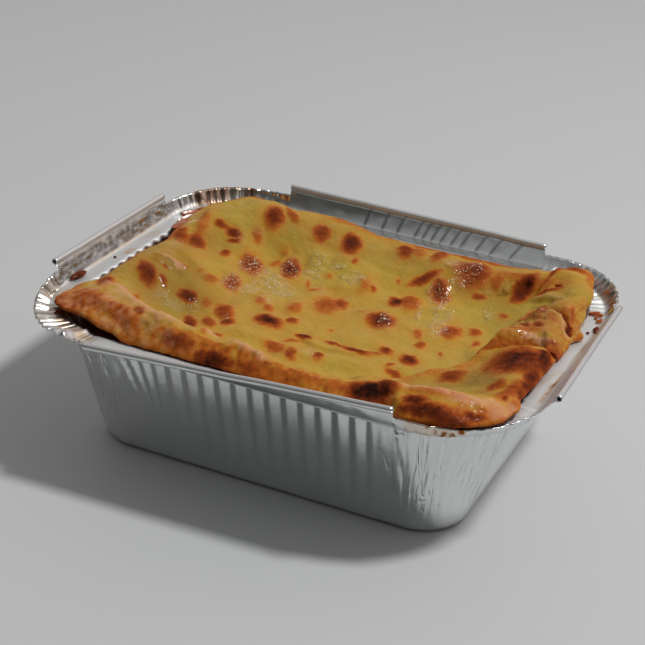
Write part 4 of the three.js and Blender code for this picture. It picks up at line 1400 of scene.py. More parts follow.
def dent_and_painted_shade_on(x, y, z):
    """Distance to a dent line at the back, which sets the painted shade along the dent, and on the
    left flange a painted dark band low down with crinkles, standing in for its dark reflection.
    """
    back = (y > LEDGE_OUTER[1] - 0.3) & (np.abs(x) < BACK_FLANGE_HALF)
    gap = np.where(back, dent_gap(x, z), NO_DENT)
    left = (x < -LEDGE_OUTER[0] - 0.2) & (np.abs(y) < LEFT_FLANGE_HALF)
    smudge = layered(y / 3.2, z, 0 * x, 1.1, 71, 2)
    # Painted dark reflection: the left flange is darker below this height.
    band = smooth((46.2 - z) / 1.4)
    return np.where(left, DENT_REACH - band * np.clip(0.42 + 0.5 * smudge, 0.0, 0.8), gap)


def satin_on(x, y, z):
    """How much duller the ledge, the left flange's top and the right side are."""
    flat = smooth(1.7 - np.abs(z - LEDGE_HEIGHT) / 0.7)
    flat = flat * (1 - 0.8 * smooth((y - 46) / 6))
    flat = flat * (1 + 0.5 * smooth((-y - 46) / 6) * smooth((48 - np.abs(x)) / 6))
    corner = smooth((-x - 50) / 8) * smooth((-y - 34) / 8)
    flat = flat * (1 - 0.7 * corner)
    high = smooth((z - 45.0) / 0.6) * (x < -70) * (np.abs(y) < 33)
    flat = np.maximum(flat, 0.4 * high)
    on_right = smooth((x - 66) / 3) * (z > STAIN_FLOOR) * smooth((34 - np.abs(y)) / 4)
    return np.maximum(flat, 0.6 * on_right)


def make_tray():
    """The fluted foil tray without its rolled beads."""
    settings = bpy.context.scene.tray_foil
    stations = tray_stations()
    side, _, turn, distance = stations
    rows = tray_rows(stations)
    count = len(side)
    points = np.concatenate([np.stack(r[:3], axis=1) for r in rows] + [[[0, 0, FOIL]]])
    faces = stack_faces(len(rows), count)
    faces += fan_faces(len(points) - 1, np.arange(count))
    foil = foil_material()
    piece = new_piece("tray_foil", points, turned_over(faces), foil)
    facing = side * np.pi / 2 + turn
    outward = np.stack([np.cos(facing), np.sin(facing), 0 * facing], axis=1)
    phase, flute, crease, pleat = [
        np.append(np.concatenate(values), 0)
        for values in ([flute_phase(stations, r[2]) for r in rows], *list(zip(*rows))[3:])
    ]
    along_edge = np.append(np.tile(distance, len(rows)), 0)
    x, y, z = points.T
    heights = np.append(z[:-1], 0)
    put_values(
        piece.data,
        phase=phase,
        flute=flute,
        crease=crease,
        pleat=pleat,
        outward=np.vstack([np.tile(outward, (len(rows), 1)), [[0, 0, 1]]]),
        folded_place=np.stack([along_edge, heights, 0 * heights], axis=1),
        stain=stain_and_painted_reflection_on(x, y, z),
        dent=dent_and_painted_shade_on(x, y, z),
        satin=satin_on(x, y, z),
    )
    add_tree(
        piece,
        fold_group(),
        flute_depth=settings.flute_depth / MM,
        crease_depth=settings.crease_depth / MM,
        pleat_depth=settings.pleat_depth / MM,
        crinkle=CRINKLE,
        seed=CRINKLE_SEED,
        material=foil,
    )
    give_gauge(piece, FOIL_SHEET, -1.0)
    settle(piece, "foil", "foil_tray")


def bead_group():
    """Rolls a strip of foil up round each line of the piece."""
    tree, given, made = geometry_group(
        "rolled_bead",
        lines="NodeSocketGeometry",
        outer_radius=BEAD_RADIUS * MM,
        inner_radius=BEAD_BORE * MM,
        turns=BEAD_TURNS,
        wobble=BEAD_WOBBLE * MM,
    )
    line = add_node(tree, "GeometryNodeMeshToCurve", {"Mesh": given["Lines"]})
    inputs = {"Curve": line.outputs["Curve"], "Count": 120}
    fine = add_node(tree, "GeometryNodeResampleCurve", inputs)
    place = add_node(tree, "GeometryNodeInputPosition").outputs[0]
    inputs = {"Vector": place, "Scale": 70.0, "Detail": 1.0}
    drift = add_node(tree, "ShaderNodeTexNoise", inputs).outputs["Color"]
    drift = vector_maths(tree, "SUBTRACT", drift, (0.5, 0.5, 0.5))
    inputs = {"Geometry": fine.outputs["Curve"], "Offset": scaled(tree, drift, given["Wobble"])}
    wavy = add_node(tree, "GeometryNodeSetPosition", inputs)
    inputs = {
        "Resolution": 22,
        "Rotations": given["Turns"],
        "Start Radius": given["Inner Radius"],
        "End Radius": given["Outer Radius"],
        "Height": 0.0,
    }
    roll = add_node(tree, "GeometryNodeCurveSpiral", inputs)
    inputs = {"Curve": wavy.outputs["Geometry"], "Profile Curve": roll.outputs["Curve"]}
    skin = add_node(tree, "GeometryNodeCurveToMesh", inputs)
    return end_group(tree, given, made, skin.outputs["Mesh"])


def make_beads():
    """The rolled beads along the tops of the four straight flanges."""
    ends = (np.repeat(np.arange(4), 2), np.tile([-1.0, 1.0], 4), np.zeros(8), np.zeros(8))
    rim_out, rim_up = rim_offset(ends)
    grow = (FLANGE_WIDTH + BEAD_LIFT) / FLANGE_WIDTH
    x, y = station_point(ends, LEDGE_OUTER, rim_out * grow - FOIL / 2)
    points = np.stack([x, y, LEDGE_HEIGHT - FOIL / 2 + rim_up * grow], axis=1) * MM
    mesh = bpy.data.meshes.new("rim_beads")
    mesh.from_pydata(points.tolist(), [(0, 1), (2, 3), (4, 5), (6, 7)], [])
    piece = new_object("rim_beads", mesh)
    satin = np.repeat((0.3, 0.5, 0.5, 0.3), 2)
    put_values(mesh, dent=np.full(len(points), NO_DENT), satin=satin)
    add_tree(piece, bead_group(), wobble=BEAD_WOBBLE * MM, material=foil_material())
    give_gauge(piece, BEAD_SHEET, 0.0)
    settle(piece, "foil")


# ------------------------------------------------------------ the food


def paint_spots(x, y, spots, seed):
    """How brown and how blistered a surface is, the warm ring round its spots, and their bulge."""
    wide = 0.55 * layered(x, y, 0.0, 3.2, seed)
    fine = 0.17 * layered(x, y, 0.0, 1.1, seed + 5, 2)
    tall = 0.55 * layered(x, y, 7.0, 3.2, seed + 9)
    brown = np.zeros(np.shape(x))
    blister = np.zeros(np.shape(x))
    warm = np.zeros(np.shape(x))
    dome = np.zeros(np.shape(x))
    for spot in spots:
        reach = 2.0 * max(spot[2], spot[3]) + 4
        near = np.hypot(x - spot[0], y - spot[1]) < reach
        if not near.any():
            continue
        d = ellipse_distance(x[near] + wide[near], y[near] + tall[near], spot)
        d = d + fine[near] / max(spot[3], 1.0) ** 0.5
        inside = smooth((1.48 - d) / 1.02)
        middle = smooth((1.0 - d) / 0.9)
        amount = spot[5] * (inside * (0.74 + 0.36 * middle) + 0.07 * smooth((2.1 - d) / 1.0))
        brown[near] = np.maximum(brown[near], amount)
        warm[near] = np.maximum(warm[near], 0.8 * smooth((2.5 - d) / 1.5))
        blister[near] = np.maximum(blister[near], spot[6] * inside)
        dome[near] = np.maximum(dome[near], smooth((1.35 - d) / 1.3) * min(1.0, 0.3 * spot[3]))
    return brown, blister, warm, dome


# Broad warmth of the cheese: x, y, half lengths, turn, amount (below 0 is paler and cooler).
WARM_AREAS = (
    (0, -8, 50, 24, 0, 0.3),
    (-55, 6, 20, 10, 70, 0.3),
    (15, 56, 60, 7, 0, 0.5),
    (-20, 20, 24, 12, 20, -0.2),
    (20, 24, 30, 10, 10, -0.3),
    (-45, 44, 14, 8, 40, -0.1),
    (38, 16, 14, 10, 30, -0.25),
    (-46, -20, 8, 7, 50, -0.3),
    (-54, 2, 8, 14, 0, 0.5),
    (-30, -34, 24, 5, -10, 0.5),
    (44, -28, 12, 6, 20, -0.3),
    (10, -46, 50, 8, 0, 0.6),
)

# Where the cheese is darker and greyer, in the same terms: partly its own duller tone, partly
# painted shade on slopes turned from the light and in hollows.
DULL_AND_SHADED_AREAS = (
    (-44, -20, 12, 9, 60, 0.8),
    (-52, 20, 16, 9, 60, 0.5),
    (-26, 40, 22, 8, 0, 0.5),
    (20, 40, 34, 9, 0, 0.5),
    (44, 28, 8, 12, 20, 0.6),
    (48, -26, 12, 8, 30, 0.6),
    (57, 22, 4, 8, 0, 0.5),
    (60, 8, 10, 9, 0, 0.5),
    (8, 4, 10, 8, 0, 0.2),
    (-50, -12, 13, 15, 30, 1.0),
    (60, 20, 8, 12, 0, 0.5),
    (56, -24, 14, 12, 40, 0.6),
)


def dullness_and_painted_shade(x, y):
    """How much darker and greyer the cheese is, partly as painted shade."""
    uneven = 0.15 * layered(x, y, 0.0, 9.0, 45, 2)
    return np.clip(relief(x, y, DULL_AND_SHADED_AREAS) + uneven, 0, 1)


def sheet_paint(x, y, z, inwards):
    """Everything that is stored on the top sheet for its material, and how its spots bulge."""
    both = zip(paint_spots(x, y, SPOTS, 11), paint_spots(x, y, CRUSTS, 23))
    brown, blister, warm, dome = [np.maximum(spots, crusts) for spots, crusts in both]
    warm = np.clip(warm + 0.25 + relief(x, y, WARM_AREAS), 0, 1.4)
    dull = dullness_and_painted_shade(x, y)
    uneven = layered(x, y, z, 7.0, 31)
    edge = smooth((4.2 - inwards + 1.6 * uneven) / 4.0)
    front = smooth((-y - 30) / 22) * smooth((9 - inwards) / 7)
    fine = layered(x, y, z, 2.4, 35, 2)
    left = smooth((-14 - x) / 16) * smooth((-y - 28) / 10)
    tip = smooth((-50 - x) / 10) * smooth((-y - 28) / 10)
    crusty = 0.4 + 0.14 * uneven + 0.2 * fine - 0.06 * left + 0.26 * tip
    edge_brown = np.maximum(edge * (0.34 + 0.2 * uneven), front * crusty)
    # Brown band on the high side of the step over the fold: partly painted shade on the slope
    # turned from the light.
    gap, share = path_distance(x, y, STEPS[0][0])
    gap = gap + 0.7 * layered(x, y, 3.0, 5.0, 37, 2)
    folded = smooth(0.6 + gap / 1.6) * smooth(1 - gap / 11) * smooth(share * 5)
    edge_brown = np.maximum(edge_brown, folded * (0.3 + 0.1 * uneven))
    brown = np.maximum(brown, edge_brown)
    # Painted shade in part: the low front face of the crust darkens towards its foot, where it is
    # burnt and lies in shade under the crest.
    low = smooth((LEDGE_HEIGHT + 4.2 - z) / 4) * smooth((6 - inwards) / 4)
    under = low * smooth((-y - 40) / 8)
    brown = np.maximum(brown, under * (0.56 + 0.3 * uneven))
    # Painted highlight: pale pink on the lit front left crust and along the crests.
    pale = np.clip(left * (0.12 - 0.4 * fine), 0, 0.45)
    for points, width, strength in PAINTED_HIGHLIGHT_CRESTS:
        gap, share = path_distance(x, y, points)
        gap = np.abs(gap + 0.8 * layered(x, y, 2.0, 3.0, 41))
        ends = smooth(share * 6) * smooth((1 - share) * 6)
        pale = np.maximum(pale, strength * ends * smooth(1.3 - gap / width))
    fat = np.zeros(np.shape(x))
    for pool in FAT_POOLS:
        d = ellipse_distance(x, y, pool) + 0.25 * layered(x, y, 1.0, 4.0, 51)
        fat = np.maximum(fat, pool[5] * smooth((1.25 - d) / 0.6))
    return {
        "brown": brown,
        "warm": warm,
        "dull": dull,
        "pale": pale,
        "blister": blister,
        "fat": fat,
        "dome": dome,
    }


def sheet_relief(x, y, z, inwards, paint):
    """Height of the sheet's small relief, in millimetres."""
    calm = smooth(inwards / 3.0)
    lift = 0.65 * calm * layered(x, y, z, 13.0, 71, 2)
    lift = lift + 0.42 * calm * layered(x, y, z, 5.6, 75, 1)
    lift = lift + 0.3 * paint["fat"] * layered(x, y, z, 2.4, 77, 1)
    crusty = smooth((-y - 34) / 12) * smooth((11 - inwards) / 6) * smooth(inwards / 1.5)
    lift = lift + 0.42 * crusty * layered(x, y, z, 3.0, 81, 2)
    lift = lift + 0.12 * layered(x, y, z, 1.9, 79, 2)
    lift = lift + 0.85 * paint["dome"]
    lift = lift - 0.3 * paint["blister"] * np.abs(layered(x, y, z, 2.0, 83, 2))
    lift = lift + calm * relief(x, y, SWELLS)
    for points, width, rise in FOLDS:
        gap, share = path_distance(x, y, points)
        ends = smooth(share * 5) * smooth((1 - share) * 5)
        lift = lift + rise * ends * np.exp(-((gap / width) ** 2))
    for points, rise, width, fade in STEPS:
        gap, share = path_distance(x, y, points)
        gap = gap + 0.5 * layered(x, y, 0.0, 6.0, 87, 2)
        ends = smooth(share * 4) * smooth((1 - share) * 6)
        step = smooth(0.5 + gap / width) * smooth(1 - gap / fade)
        lift = lift + rise * ends * step
    return lift


def make_cheese():
    """The browned cheese over the top sheet, with its folded edge and its underside."""
    share, at = net_grid(NET_RINGS)
    ragged = 0.35 * layered(np.cos(at * 0.785) * 60, np.sin(at * 0.785) * 60, 0.0, 5.0, 91)
    x, y, z, inwards = sheet_point(share, at)
    pull = 1 + ragged * smooth((5 - inwards) / 5) / np.maximum(np.hypot(x, y), 1)
    x, y = x * pull, y * pull
    faces = net_faces(NET_RINGS).tolist()
    parts = [np.stack([x, y, z], axis=1)]
    edge = net_edge(NET_RINGS)
    places = at[edge]
    count = len(edge)
    previous = edge
    lip_x, lip_y, lip_z, _ = sheet_point(np.ones(count), places)
    reach, lip = edge_at(places)[:2]
    room = np.where(reach > -WALL_MARGIN, lip - LEDGE_CLEARANCE, LIP_THICKNESS)
    thick = np.minimum(LIP_THICKNESS, room)
    for scale, drop in LIP_RINGS:
        ring = np.stack([lip_x * scale, lip_y * scale, lip_z - thick * drop], axis=1)
        ring[:, :2] *= pull[edge][:, None]
        previous = add_ring(parts, faces, previous, ring)
    for inner in UNDER_RINGS:
        ring = np.stack(sheet_underside(np.full(count, inner), places), axis=1)
        previous = add_ring(parts, faces, previous, ring)
    close_below(parts, faces, previous, SHEET_FLOOR - SHEET_THICKNESS)
    points = np.concatenate(parts)
    piece = new_piece("cheese_top", points, faces, cheese_material())
    paint = sheet_paint(x, y, z, inwards)
    under = points[len(x) :]
    rough = 0.18 * layered(under[:, 0], under[:, 1], under[:, 2], 2.5, 97, 2)
    lift = np.concatenate([sheet_relief(x, y, z, inwards, paint), rough])
    raise_points(piece.data, points, lift)
    for name, low in UNDERSIDE.items():
        values = np.full(len(under), low)
        if name == "brown":
            for k in range(len(LIP_RINGS)):
                browned = lerp(paint["brown"][edge], low, k / len(LIP_RINGS))
                values[k * count : (k + 1) * count] = browned
        put_values(piece.data, **{name: np.concatenate([paint[name], values])})
    settle(piece, "browned_cheese", "cheese_sheet")


def spline_outline(points, count):
    """Evenly spaced points along a smooth closed curve through the given ones."""
    points = np.array(points, dtype=float)
    total = len(points)
    curve = []
    for n in range(total):
        p = [points[(n + k - 1) % total] for k in range(4)]
        gaps = [max(np.linalg.norm(p[k + 1] - p[k]) ** 0.5, 1e-4) for k in range(3)]
        m1 = (p[1] - p[0]) / gaps[0] - (p[2] - p[0]) / (gaps[0] + gaps[1])
        m1 = (m1 + (p[2] - p[1]) / gaps[1]) * gaps[1]
        m2 = (p[2] - p[1]) / gaps[1] - (p[3] - p[1]) / (gaps[1] + gaps[2])
        m2 = (m2 + (p[3] - p[2]) / gaps[2]) * gaps[1]
        t = np.linspace(0, 1, 60, endpoint=False)[:, None]
        c2 = -3 * p[1] + 3 * p[2] - 2 * m1 - m2
        c3 = 2 * p[1] - 2 * p[2] + m1 + m2
        curve.append(p[1] + m1 * t + c2 * t**2 + c3 * t**3)
    curve = np.concatenate(curve)
    closed = np.vstack([curve, curve[:1]])
    lengths = np.append(0, np.cumsum(np.linalg.norm(np.diff(closed, axis=0), axis=1)))
    wanted = np.linspace(0, lengths[-1], count, endpoint=False)
    return np.stack([np.interp(wanted, lengths, closed[:, k]) for k in range(2)], axis=1)


def flap_base(x, y):
    """Height of what the flap lies on, with the flap's clearance."""
    share = sheet_place(x, y)[1]
    ledge = LEDGE_HEIGHT + LEDGE_CLEARANCE
    on_sheet = np.maximum(sheet_height(x, y) + FLAP_REST, ledge)
    return np.where(share < 1.01, on_sheet, ledge)


def crack_depth(x, y, inwards):
    """Depth of the crack that curves through the flap."""
    gap, share = path_distance(x, y, CRACK_PATH)
    gap = gap + 0.3 * layered(x, y, 0.0, 3.0, 131, 2)
    ends = smooth(share * 5) * smooth((1 - share) * 20)
    # One side of the crack stands over the other.
    step = np.where(gap < 0, np.exp(-((gap / 2.2) ** 2)), np.exp(-((gap / 0.6) ** 2)))
    return FLAP_CRACK_DEPTH * step * ends * smooth((inwards - 0.3) / 1.2)


def flap_rows():
    """Rings of the flap, from its middle round to its underside.

    Each has x, y, z, the distance in from the edge, and the crack's depth.
    """
    outline = spline_outline(FLAP_EDGE, FLAP_SIDES)
    ragged = 0.3 * layered(outline[:, 0], outline[:, 1], 0.0, 3.0, 141, 2)
    middle = np.array(FLAP_MIDDLE)
    away = outline - middle
    outline = outline + away / np.linalg.norm(away, axis=1)[:, None] * ragged[:, None]
    away = outline - middle
    length = np.linalg.norm(away, axis=1)
    over_ledge = smooth((outline[:, 0] - LEDGE_START) / LEDGE_BLEND)
    edge_thick = lerp(*FLAP_EDGE_THICKNESS, over_ledge)
    rows = []
    for share in np.sin(np.linspace(0.02, 1, FLAP_RINGS) * np.pi / 2):
        x, y = (middle + away * share).T
        inwards = (1 - share) * length
        round_edge = np.sin(np.clip(inwards / FLAP_SHOULDER, 0, 1) * np.pi / 2)
        soft_edge = smooth(inwards / (FLAP_SHOULDER + 2))
        shoulder = lerp(soft_edge, round_edge, over_ledge)
        thick = lerp(edge_thick, FLAP_THICKNESS, shoulder)
        thick = thick + relief(x, y, (FLAP_ROLL,)) * smooth(inwards / FLAP_ROLL_FADE)
        crack = crack_depth(x, y, inwards)
        z = flap_base(x, y) + FLAP_CLEARANCE - 0.3 + thick - crack * shoulder
        rows.append(np.stack([x, y, z, inwards, crack]))
    edge_height = z
    for scale, drop in FLAP_UNDER_RINGS:
        x, y = (middle + away * scale).T
        floor = flap_base(x, y) - FLAP_SINK * (1 - over_ledge)
        z = floor + (edge_height - floor) * (1 - drop)
        rows.append(np.stack([x, y, z, 0 * x, 0 * x]))
    return rows


def flap_paint(x, y, z, inwards, crack):
    """Everything that is stored on the flap for its material, and how its spots bulge."""
    brown, blister, warm, dome = paint_spots(x, y, FLAP_SPOTS, 151)
    uneven = layered(x, y, z, 5.0, 155)
    fine = layered(x, y, z, 2.0, 157, 2)
    behind = np.abs(path_distance(x, y, FLAP_FRONT)[0])
    lip = smooth((5.0 - behind) / 2.4)
    painted_foot_shadow = smooth((1.6 - behind) / 1.4) * smooth((x - 51) / 4)
    edge = smooth((2.2 - inwards + uneven) / 2.4) * smooth((x - 61) / 4)
    # Brown here is partly painted shadow: at the roll's foot it is painted shadow, and the crack's
    # dark brown is partly sauce, partly painted shadow.
    for amount in (
        edge * (0.36 + 0.2 * uneven),
        lip * (0.48 + 0.12 * uneven + 0.14 * fine) + 0.3 * painted_foot_shadow,
        0.24 + 0.16 * uneven,
        1.1 * smooth(1.4 * crack / FLAP_CRACK_DEPTH - 0.4),
    ):
        brown = np.maximum(brown, amount)
    # Painted highlight along the roll and on the crack's lifted lip.
    gap, share = path_distance(x, y, FLAP_PAINTED_SHINE)
    painted_shine = smooth(1.4 - np.abs(gap + 0.5 * fine) / 0.9)
    painted_shine = 0.85 * painted_shine * smooth(share * 5) * smooth(5 - share * 5)
    gap = path_distance(x, y, CRACK_PATH)[0]
    torn_edge_highlight = 0.45 * smooth(1.3 - np.abs(gap - 1.1) / 0.7) * (crack > 0)
    return {
        "brown": brown,
        "warm": np.clip(warm + 0.2 + 0.3 * smooth((9 - y) / 6), 0, 1.2),
        "dull": dullness_and_painted_shade(x, y),
        "pale": np.maximum(painted_shine, torn_edge_highlight),
        "blister": blister,
        "fat": 0.12 + 0.3 * lip * smooth(0.4 + fine),
        "dome": dome,
    }


def make_flap():
    """The flap of cheese and pasta that lies over the sheet along the right side."""
    rows = flap_rows()
    faces = turned_over(stack_faces(len(rows), FLAP_SIDES))
    middles = [
        (*FLAP_MIDDLE, row[2].mean(), MIDDLE_INWARDS, 0.0) for row in (rows[0], rows[-1])
    ]
    x, y, z, inwards, crack = np.hstack([*rows, np.transpose(middles)])
    points = np.stack([x, y, z], axis=1)
    ring = np.arange(FLAP_SIDES)
    faces += fan_faces(len(points) - 2, ring)
    last = (len(rows) - 1) * FLAP_SIDES
    faces += turned_over(fan_faces(len(points) - 1, last + ring))
    piece = new_piece("flap_top", points, faces, cheese_material())
    paint = flap_paint(x, y, z, inwards, crack)
    lift = 0.3 * smooth(inwards / 2) * layered(x, y, z, 5.0, 161, 2)
    lift = lift + 0.1 * layered(x, y, z, 1.8, 165, 2) + 0.3 * paint.pop("dome")
    raise_points(piece.data, points, lift)
    put_values(piece.data, **paint)
    settle(piece, "browned_cheese", "side_flap")


def make_filling():
    """The filling under the sheet, which shows where the sheet's corner is lifted."""
    share, at = net_grid(FILLING_RINGS)

    def height_at(x, y, share):
        inwards = (1 - share) * LEDGE_INNER[1]
        depth = lerp(LIP_THICKNESS, SHEET_THICKNESS, smooth(inwards / LIP_TAPER))
        under = sheet_height(x, y) - depth - SHEET_CLEARANCE
        highest = LEDGE_HEIGHT - FILLING_BELOW_LEDGE
        return np.minimum(under, highest) + relief(x, y, (FILLING_CAVITY,))

    wide_x, wide_y = rect_point(LEDGE_INNER, at, -FILLING_INSET)
    rect = wall_rect(height_at(wide_x, wide_y, 1.0) / LEDGE_HEIGHT)
    x, y = rect_point(rect, at, -FILLING_INSET)
    x, y = x * share, y * share
    z = height_at(x, y, share)
    z = z + 0.55 * np.clip(layered(x, y, z, 4.5, 171, 3), -1.5, 0.7)
    faces = net_faces(FILLING_RINGS).tolist()
    parts = [np.stack([x, y, z], axis=1)]
    previous = net_edge(FILLING_RINGS)
    places = at[previous]
    foot_share, foot_z = FILLING_FOOT
    floor = FOIL + BASE_GAP
    for share, outwards, z in (
        (foot_share, -FILLING_WALL_GAP, foot_z),
        (0, -FILLING_WALL_GAP - BASE_EDGE, floor),
    ):
        rect = tuple(v + outwards for v in wall_rect(share))
        x, y = rect_point(rect, places, 0)
        previous = add_ring(parts, faces, previous, np.stack([x, y, z + 0 * x], axis=1))
    close_below(parts, faces, previous, floor)
    piece = new_piece("filling", np.concatenate(parts), faces, filling_material())
    settle(piece, "filling", "meat_filling")


# ------------------------------------------------------------ small things


def scatter_group():
    """Scatters low beads of fat over a surface, as thickly as its stored fat says."""
    tree, given, made = geometry_group(
        "fat_scatter",
        geometry="NodeSocketGeometry",
        surface="NodeSocketObject",
        density=1.0,
        radius=0.0003,
        seed=FAT_SEED,
    )
    inputs = {"Object": given["Surface"]}
    surface = add_node(tree, "GeometryNodeObjectInfo", inputs, transform_space="ORIGINAL")
    thick = maths(tree, "POWER", named_value(tree, "fat"), 1.5)
    thick = maths(tree, "MULTIPLY", thick, given["Density"])
    inputs = {"Mesh": surface.outputs["Geometry"], "Density": thick, "Seed": given["Seed"]}
    spread = add_node(tree, "GeometryNodeDistributePointsOnFaces", inputs)
    inputs = {"Segments": 8, "Rings": 5, "Radius": given["Radius"]}
    bead = add_node(tree, "GeometryNodeMeshUVSphere", inputs)
    inputs = {"Geometry": bead.outputs["Mesh"], "Scale": BEAD_FLATNESS}
    low = add_node(tree, "GeometryNodeTransform", inputs)
    inputs = {"Min": BEAD_SIZES[0], "Max": BEAD_SIZES[1], "Seed": 9}
    sizes = add_node(tree, "FunctionNodeRandomValue", inputs, data_type="FLOAT_VECTOR")
    inputs = {
        "Points": spread.outputs["Points"],
        "Instance": low.outputs["Geometry"],
        "Rotation": spread.outputs["Rotation"],
        "Scale": sizes.outputs["Value"],
    }
    beads = add_node(tree, "GeometryNodeInstanceOnPoints", inputs)
    inputs = {"Min": 0.0, "Max": FULL_TURN, "Seed": 5}
    spin = add_node(tree, "FunctionNodeRandomValue", inputs, data_type="FLOAT")
    turn = add_node(tree, "ShaderNodeCombineXYZ", {"Z": spin.outputs[1]})
    inputs = {"Instances": beads.outputs["Instances"], "Rotation": turn.outputs["Vector"]}
    turned = add_node(tree, "GeometryNodeRotateInstances", inputs)
    return end_group(tree, given, made, turned.outputs["Instances"])


def make_fat():
    """Small beads of fat over the cheese, pale enough to serve partly as painted glints."""
    settings = bpy.context.scene.tray_food
    piece = new_object("fat_beads", bpy.data.meshes.new("fat_beads"))
    add_tree(
        piece,
        scatter_group(),
        surface=bpy.data.objects["cheese_top"],
        density=settings.fat_density,
        radius=settings.fat_radius,
        seed=FAT_SEED,
        material=fat_glint_material(),
    )
    settle(piece, "browned_cheese")


def lump(middle, sizes, turn, seed, rough):
    """Points and faces of one uneven lump: middle and half sizes in millimetres."""
    up = np.linspace(-np.pi / 2, np.pi / 2, LUMP_RINGS)[1:-1]
    round_ = np.linspace(0, 2 * np.pi, LUMP_SIDES, endpoint=False)
    height, angle = np.meshgrid(np.sin(up), round_, indexing="ij")
    wide = np.sqrt(1 - height**2)
    x = np.append(wide * np.cos(angle), [0, 0])
    y = np.append(wide * np.sin(angle), [0, 0])
    z = np.append(height, [-1, 1])
    grow = 1 + rough * layered(x + seed * 3.1, y, z, 1.1, 200 + seed, 2)
    x, y, z = x * grow * sizes[0], y * grow * sizes[1], z * grow * sizes[2]
    c, s = math.cos(math.radians(turn)), math.sin(math.radians(turn))
    points = np.stack([x * c - y * s, x * s + y * c, z], axis=1) + np.array(middle)
    faces = turned_over(stack_faces(len(up), LUMP_SIDES))
    low = len(up) * LUMP_SIDES
    ring = np.arange(LUMP_SIDES)
    faces += turned_over(fan_faces(low, ring))
    faces += fan_faces(low + 1, low - LUMP_SIDES + ring)
    return points, faces


def lump_piece(name, lumps, material, brown, rough):
    """One piece made of several lumps."""
    parts, faces = [], []
    start = 0
    for n, (middle, sizes, turn) in enumerate(lumps):
        points, made = lump(middle, sizes, turn, n + len(name), rough)
        parts.append(points)
        faces += [[i + start for i in f] for f in made]
        start += len(points)
    piece = new_piece(name, np.concatenate(parts), faces, material)
    stored = {"brown": brown, "warm": 1.0, "dull": 0.0, "pale": 0.0, "blister": 0.5, "fat": 0.4}
    put_values(piece.data, **{label: np.full(start, v) for label, v in stored.items()})
    return piece


# Crumbs on the ledge and in the fold of the flange: middle, half sizes, turn.
CRUMBS = (
    ((69.9, 35.2, 41.0), (2.0, 0.7, 0.4), 35),
    ((71.6, 34.4, 41.2), (1.5, 0.6, 0.4), 10),
    ((71.2, 32.6, 41.0), (0.9, 0.5, 0.35), 80),
    ((72.6, 30.6, 41.1), (1.3, 0.6, 0.4), 60),
)
DARK_CRUMBS = (
    ((73.3, 24.5, 41.2), (1.5, 0.6, 0.5), 80),
    ((71.9, 21.5, 40.8), (0.5, 0.4, 0.35), 0),
    ((73.9, 21.8, 41.4), (0.5, 0.35, 0.4), 80),
    ((-72.5, -25.6, 41.4), (3.2, 1.1, 0.9), 82),
    ((-72.7, -22.9, 41.1), (1.3, 0.7, 0.7), 70),
    ((-63.8, -49.0, 41.05), (1.5, 0.9, 0.6), 30),
    ((-61.5, -48.0, 40.9), (1.0, 0.7, 0.5), 80),
    ((-71.3, -6.5, 40.7), (0.45, 0.4, 0.3), 0),
)
SAUCE = (
    ((-69.6, 38.2, 40.75), (3.6, 2.2, 0.3), 60),
    ((-68.0, 33.0, 40.75), (4.5, 1.9, 0.32), 85),
    ((-67.4, 26.5, 40.8), (4.2, 1.5, 0.35), 88),
    ((-66.0, 44.5, 40.75), (4.0, 1.8, 0.3), 45),
)


def make_crumbs():
    """Crumbs that fell from the crust."""
    material = cheese_material()
    settle(lump_piece("orange_crumbs", CRUMBS, material, 0.6, 0.45), "browned_cheese")
    settle(lump_piece("dark_crumbs", DARK_CRUMBS, material, 1.1, 0.4), "browned_cheese")


def make_sauce():
    """Sauce that came over the edge."""
    settle(lump_piece("sauce_spill", SAUCE, sauce_material(), 0.6, 0.25), "filling")


# ------------------------------------------------------------ stage

CAMERA_PLACE = (0.166110, -0.401910, 0.243872)
CAMERA_RIGHT = (0.90677, 0.41642, 0.06601)
CAMERA_UP = (-0.23581, 0.37112, 0.89815)
CAMERA_BACK = (0.34951, -0.82998, 0.43472)
CAMERA_LENS = 90.353
SENSOR_WIDTH = 36.0
NEAREST = 0.01
KEY_DIRECTION = (0.45, 0.10, 0.89)
KEY_DISTANCE = 1.5
KEY_SIZE = 0.19
FLOOR_HALF = 3.0
FLOOR_BACK = 0.8
FLOOR_HEIGHT = -0.0002


def make_floor(colour):
    """The plain pale floor."""
    half, back = FLOOR_HALF, FLOOR_BACK
    corners = [(-half, -half), (half, -half), (half, back), (-half, back)]
    mesh = bpy.data.meshes.new("floor")
    mesh.from_pydata([(x, y, FLOOR_HEIGHT) for x, y in corners], [], [(0, 1, 2, 3)])
    floor = new_object("floor", mesh)
    material, tree, shader = new_material("pale_floor")
    values = {"Base Color": rgba(colour), "Roughness": 0.55, "Specular IOR Level": 0.25}
    connect(tree, shader, values)
    mesh.materials.append(material)


def make_sky(settings):
    """The light from all round: low, front, back and top."""
    world = bpy.data.worlds.new("studio")
    bpy.context.scene.world = world
    world.use_nodes = True
    tree = world.node_tree
    direction = add_node(tree, "ShaderNodeTexCoord").outputs["Generated"]
    parts = add_node(tree, "ShaderNodeSeparateXYZ", {"Vector": direction}).outputs
    back = eased_range(tree, parts["Y"], -0.6, 0.8)
    side = mix_colours(tree, back, rgba(settings.front_light), rgba(settings.back_light))
    level = eased_range(tree, parts["Z"], 0.06, 0.22)
    side = mix_colours(tree, level, rgba(settings.low_light), side)
    high = eased_range(tree, parts["Z"], 0.35, 1.0)
    sky = mix_colours(tree, high, side, rgba(settings.top_light))
    shade = tree.nodes["Background"]
    connect(tree, shade, {"Color": sky, "Strength": settings.fill_strength})


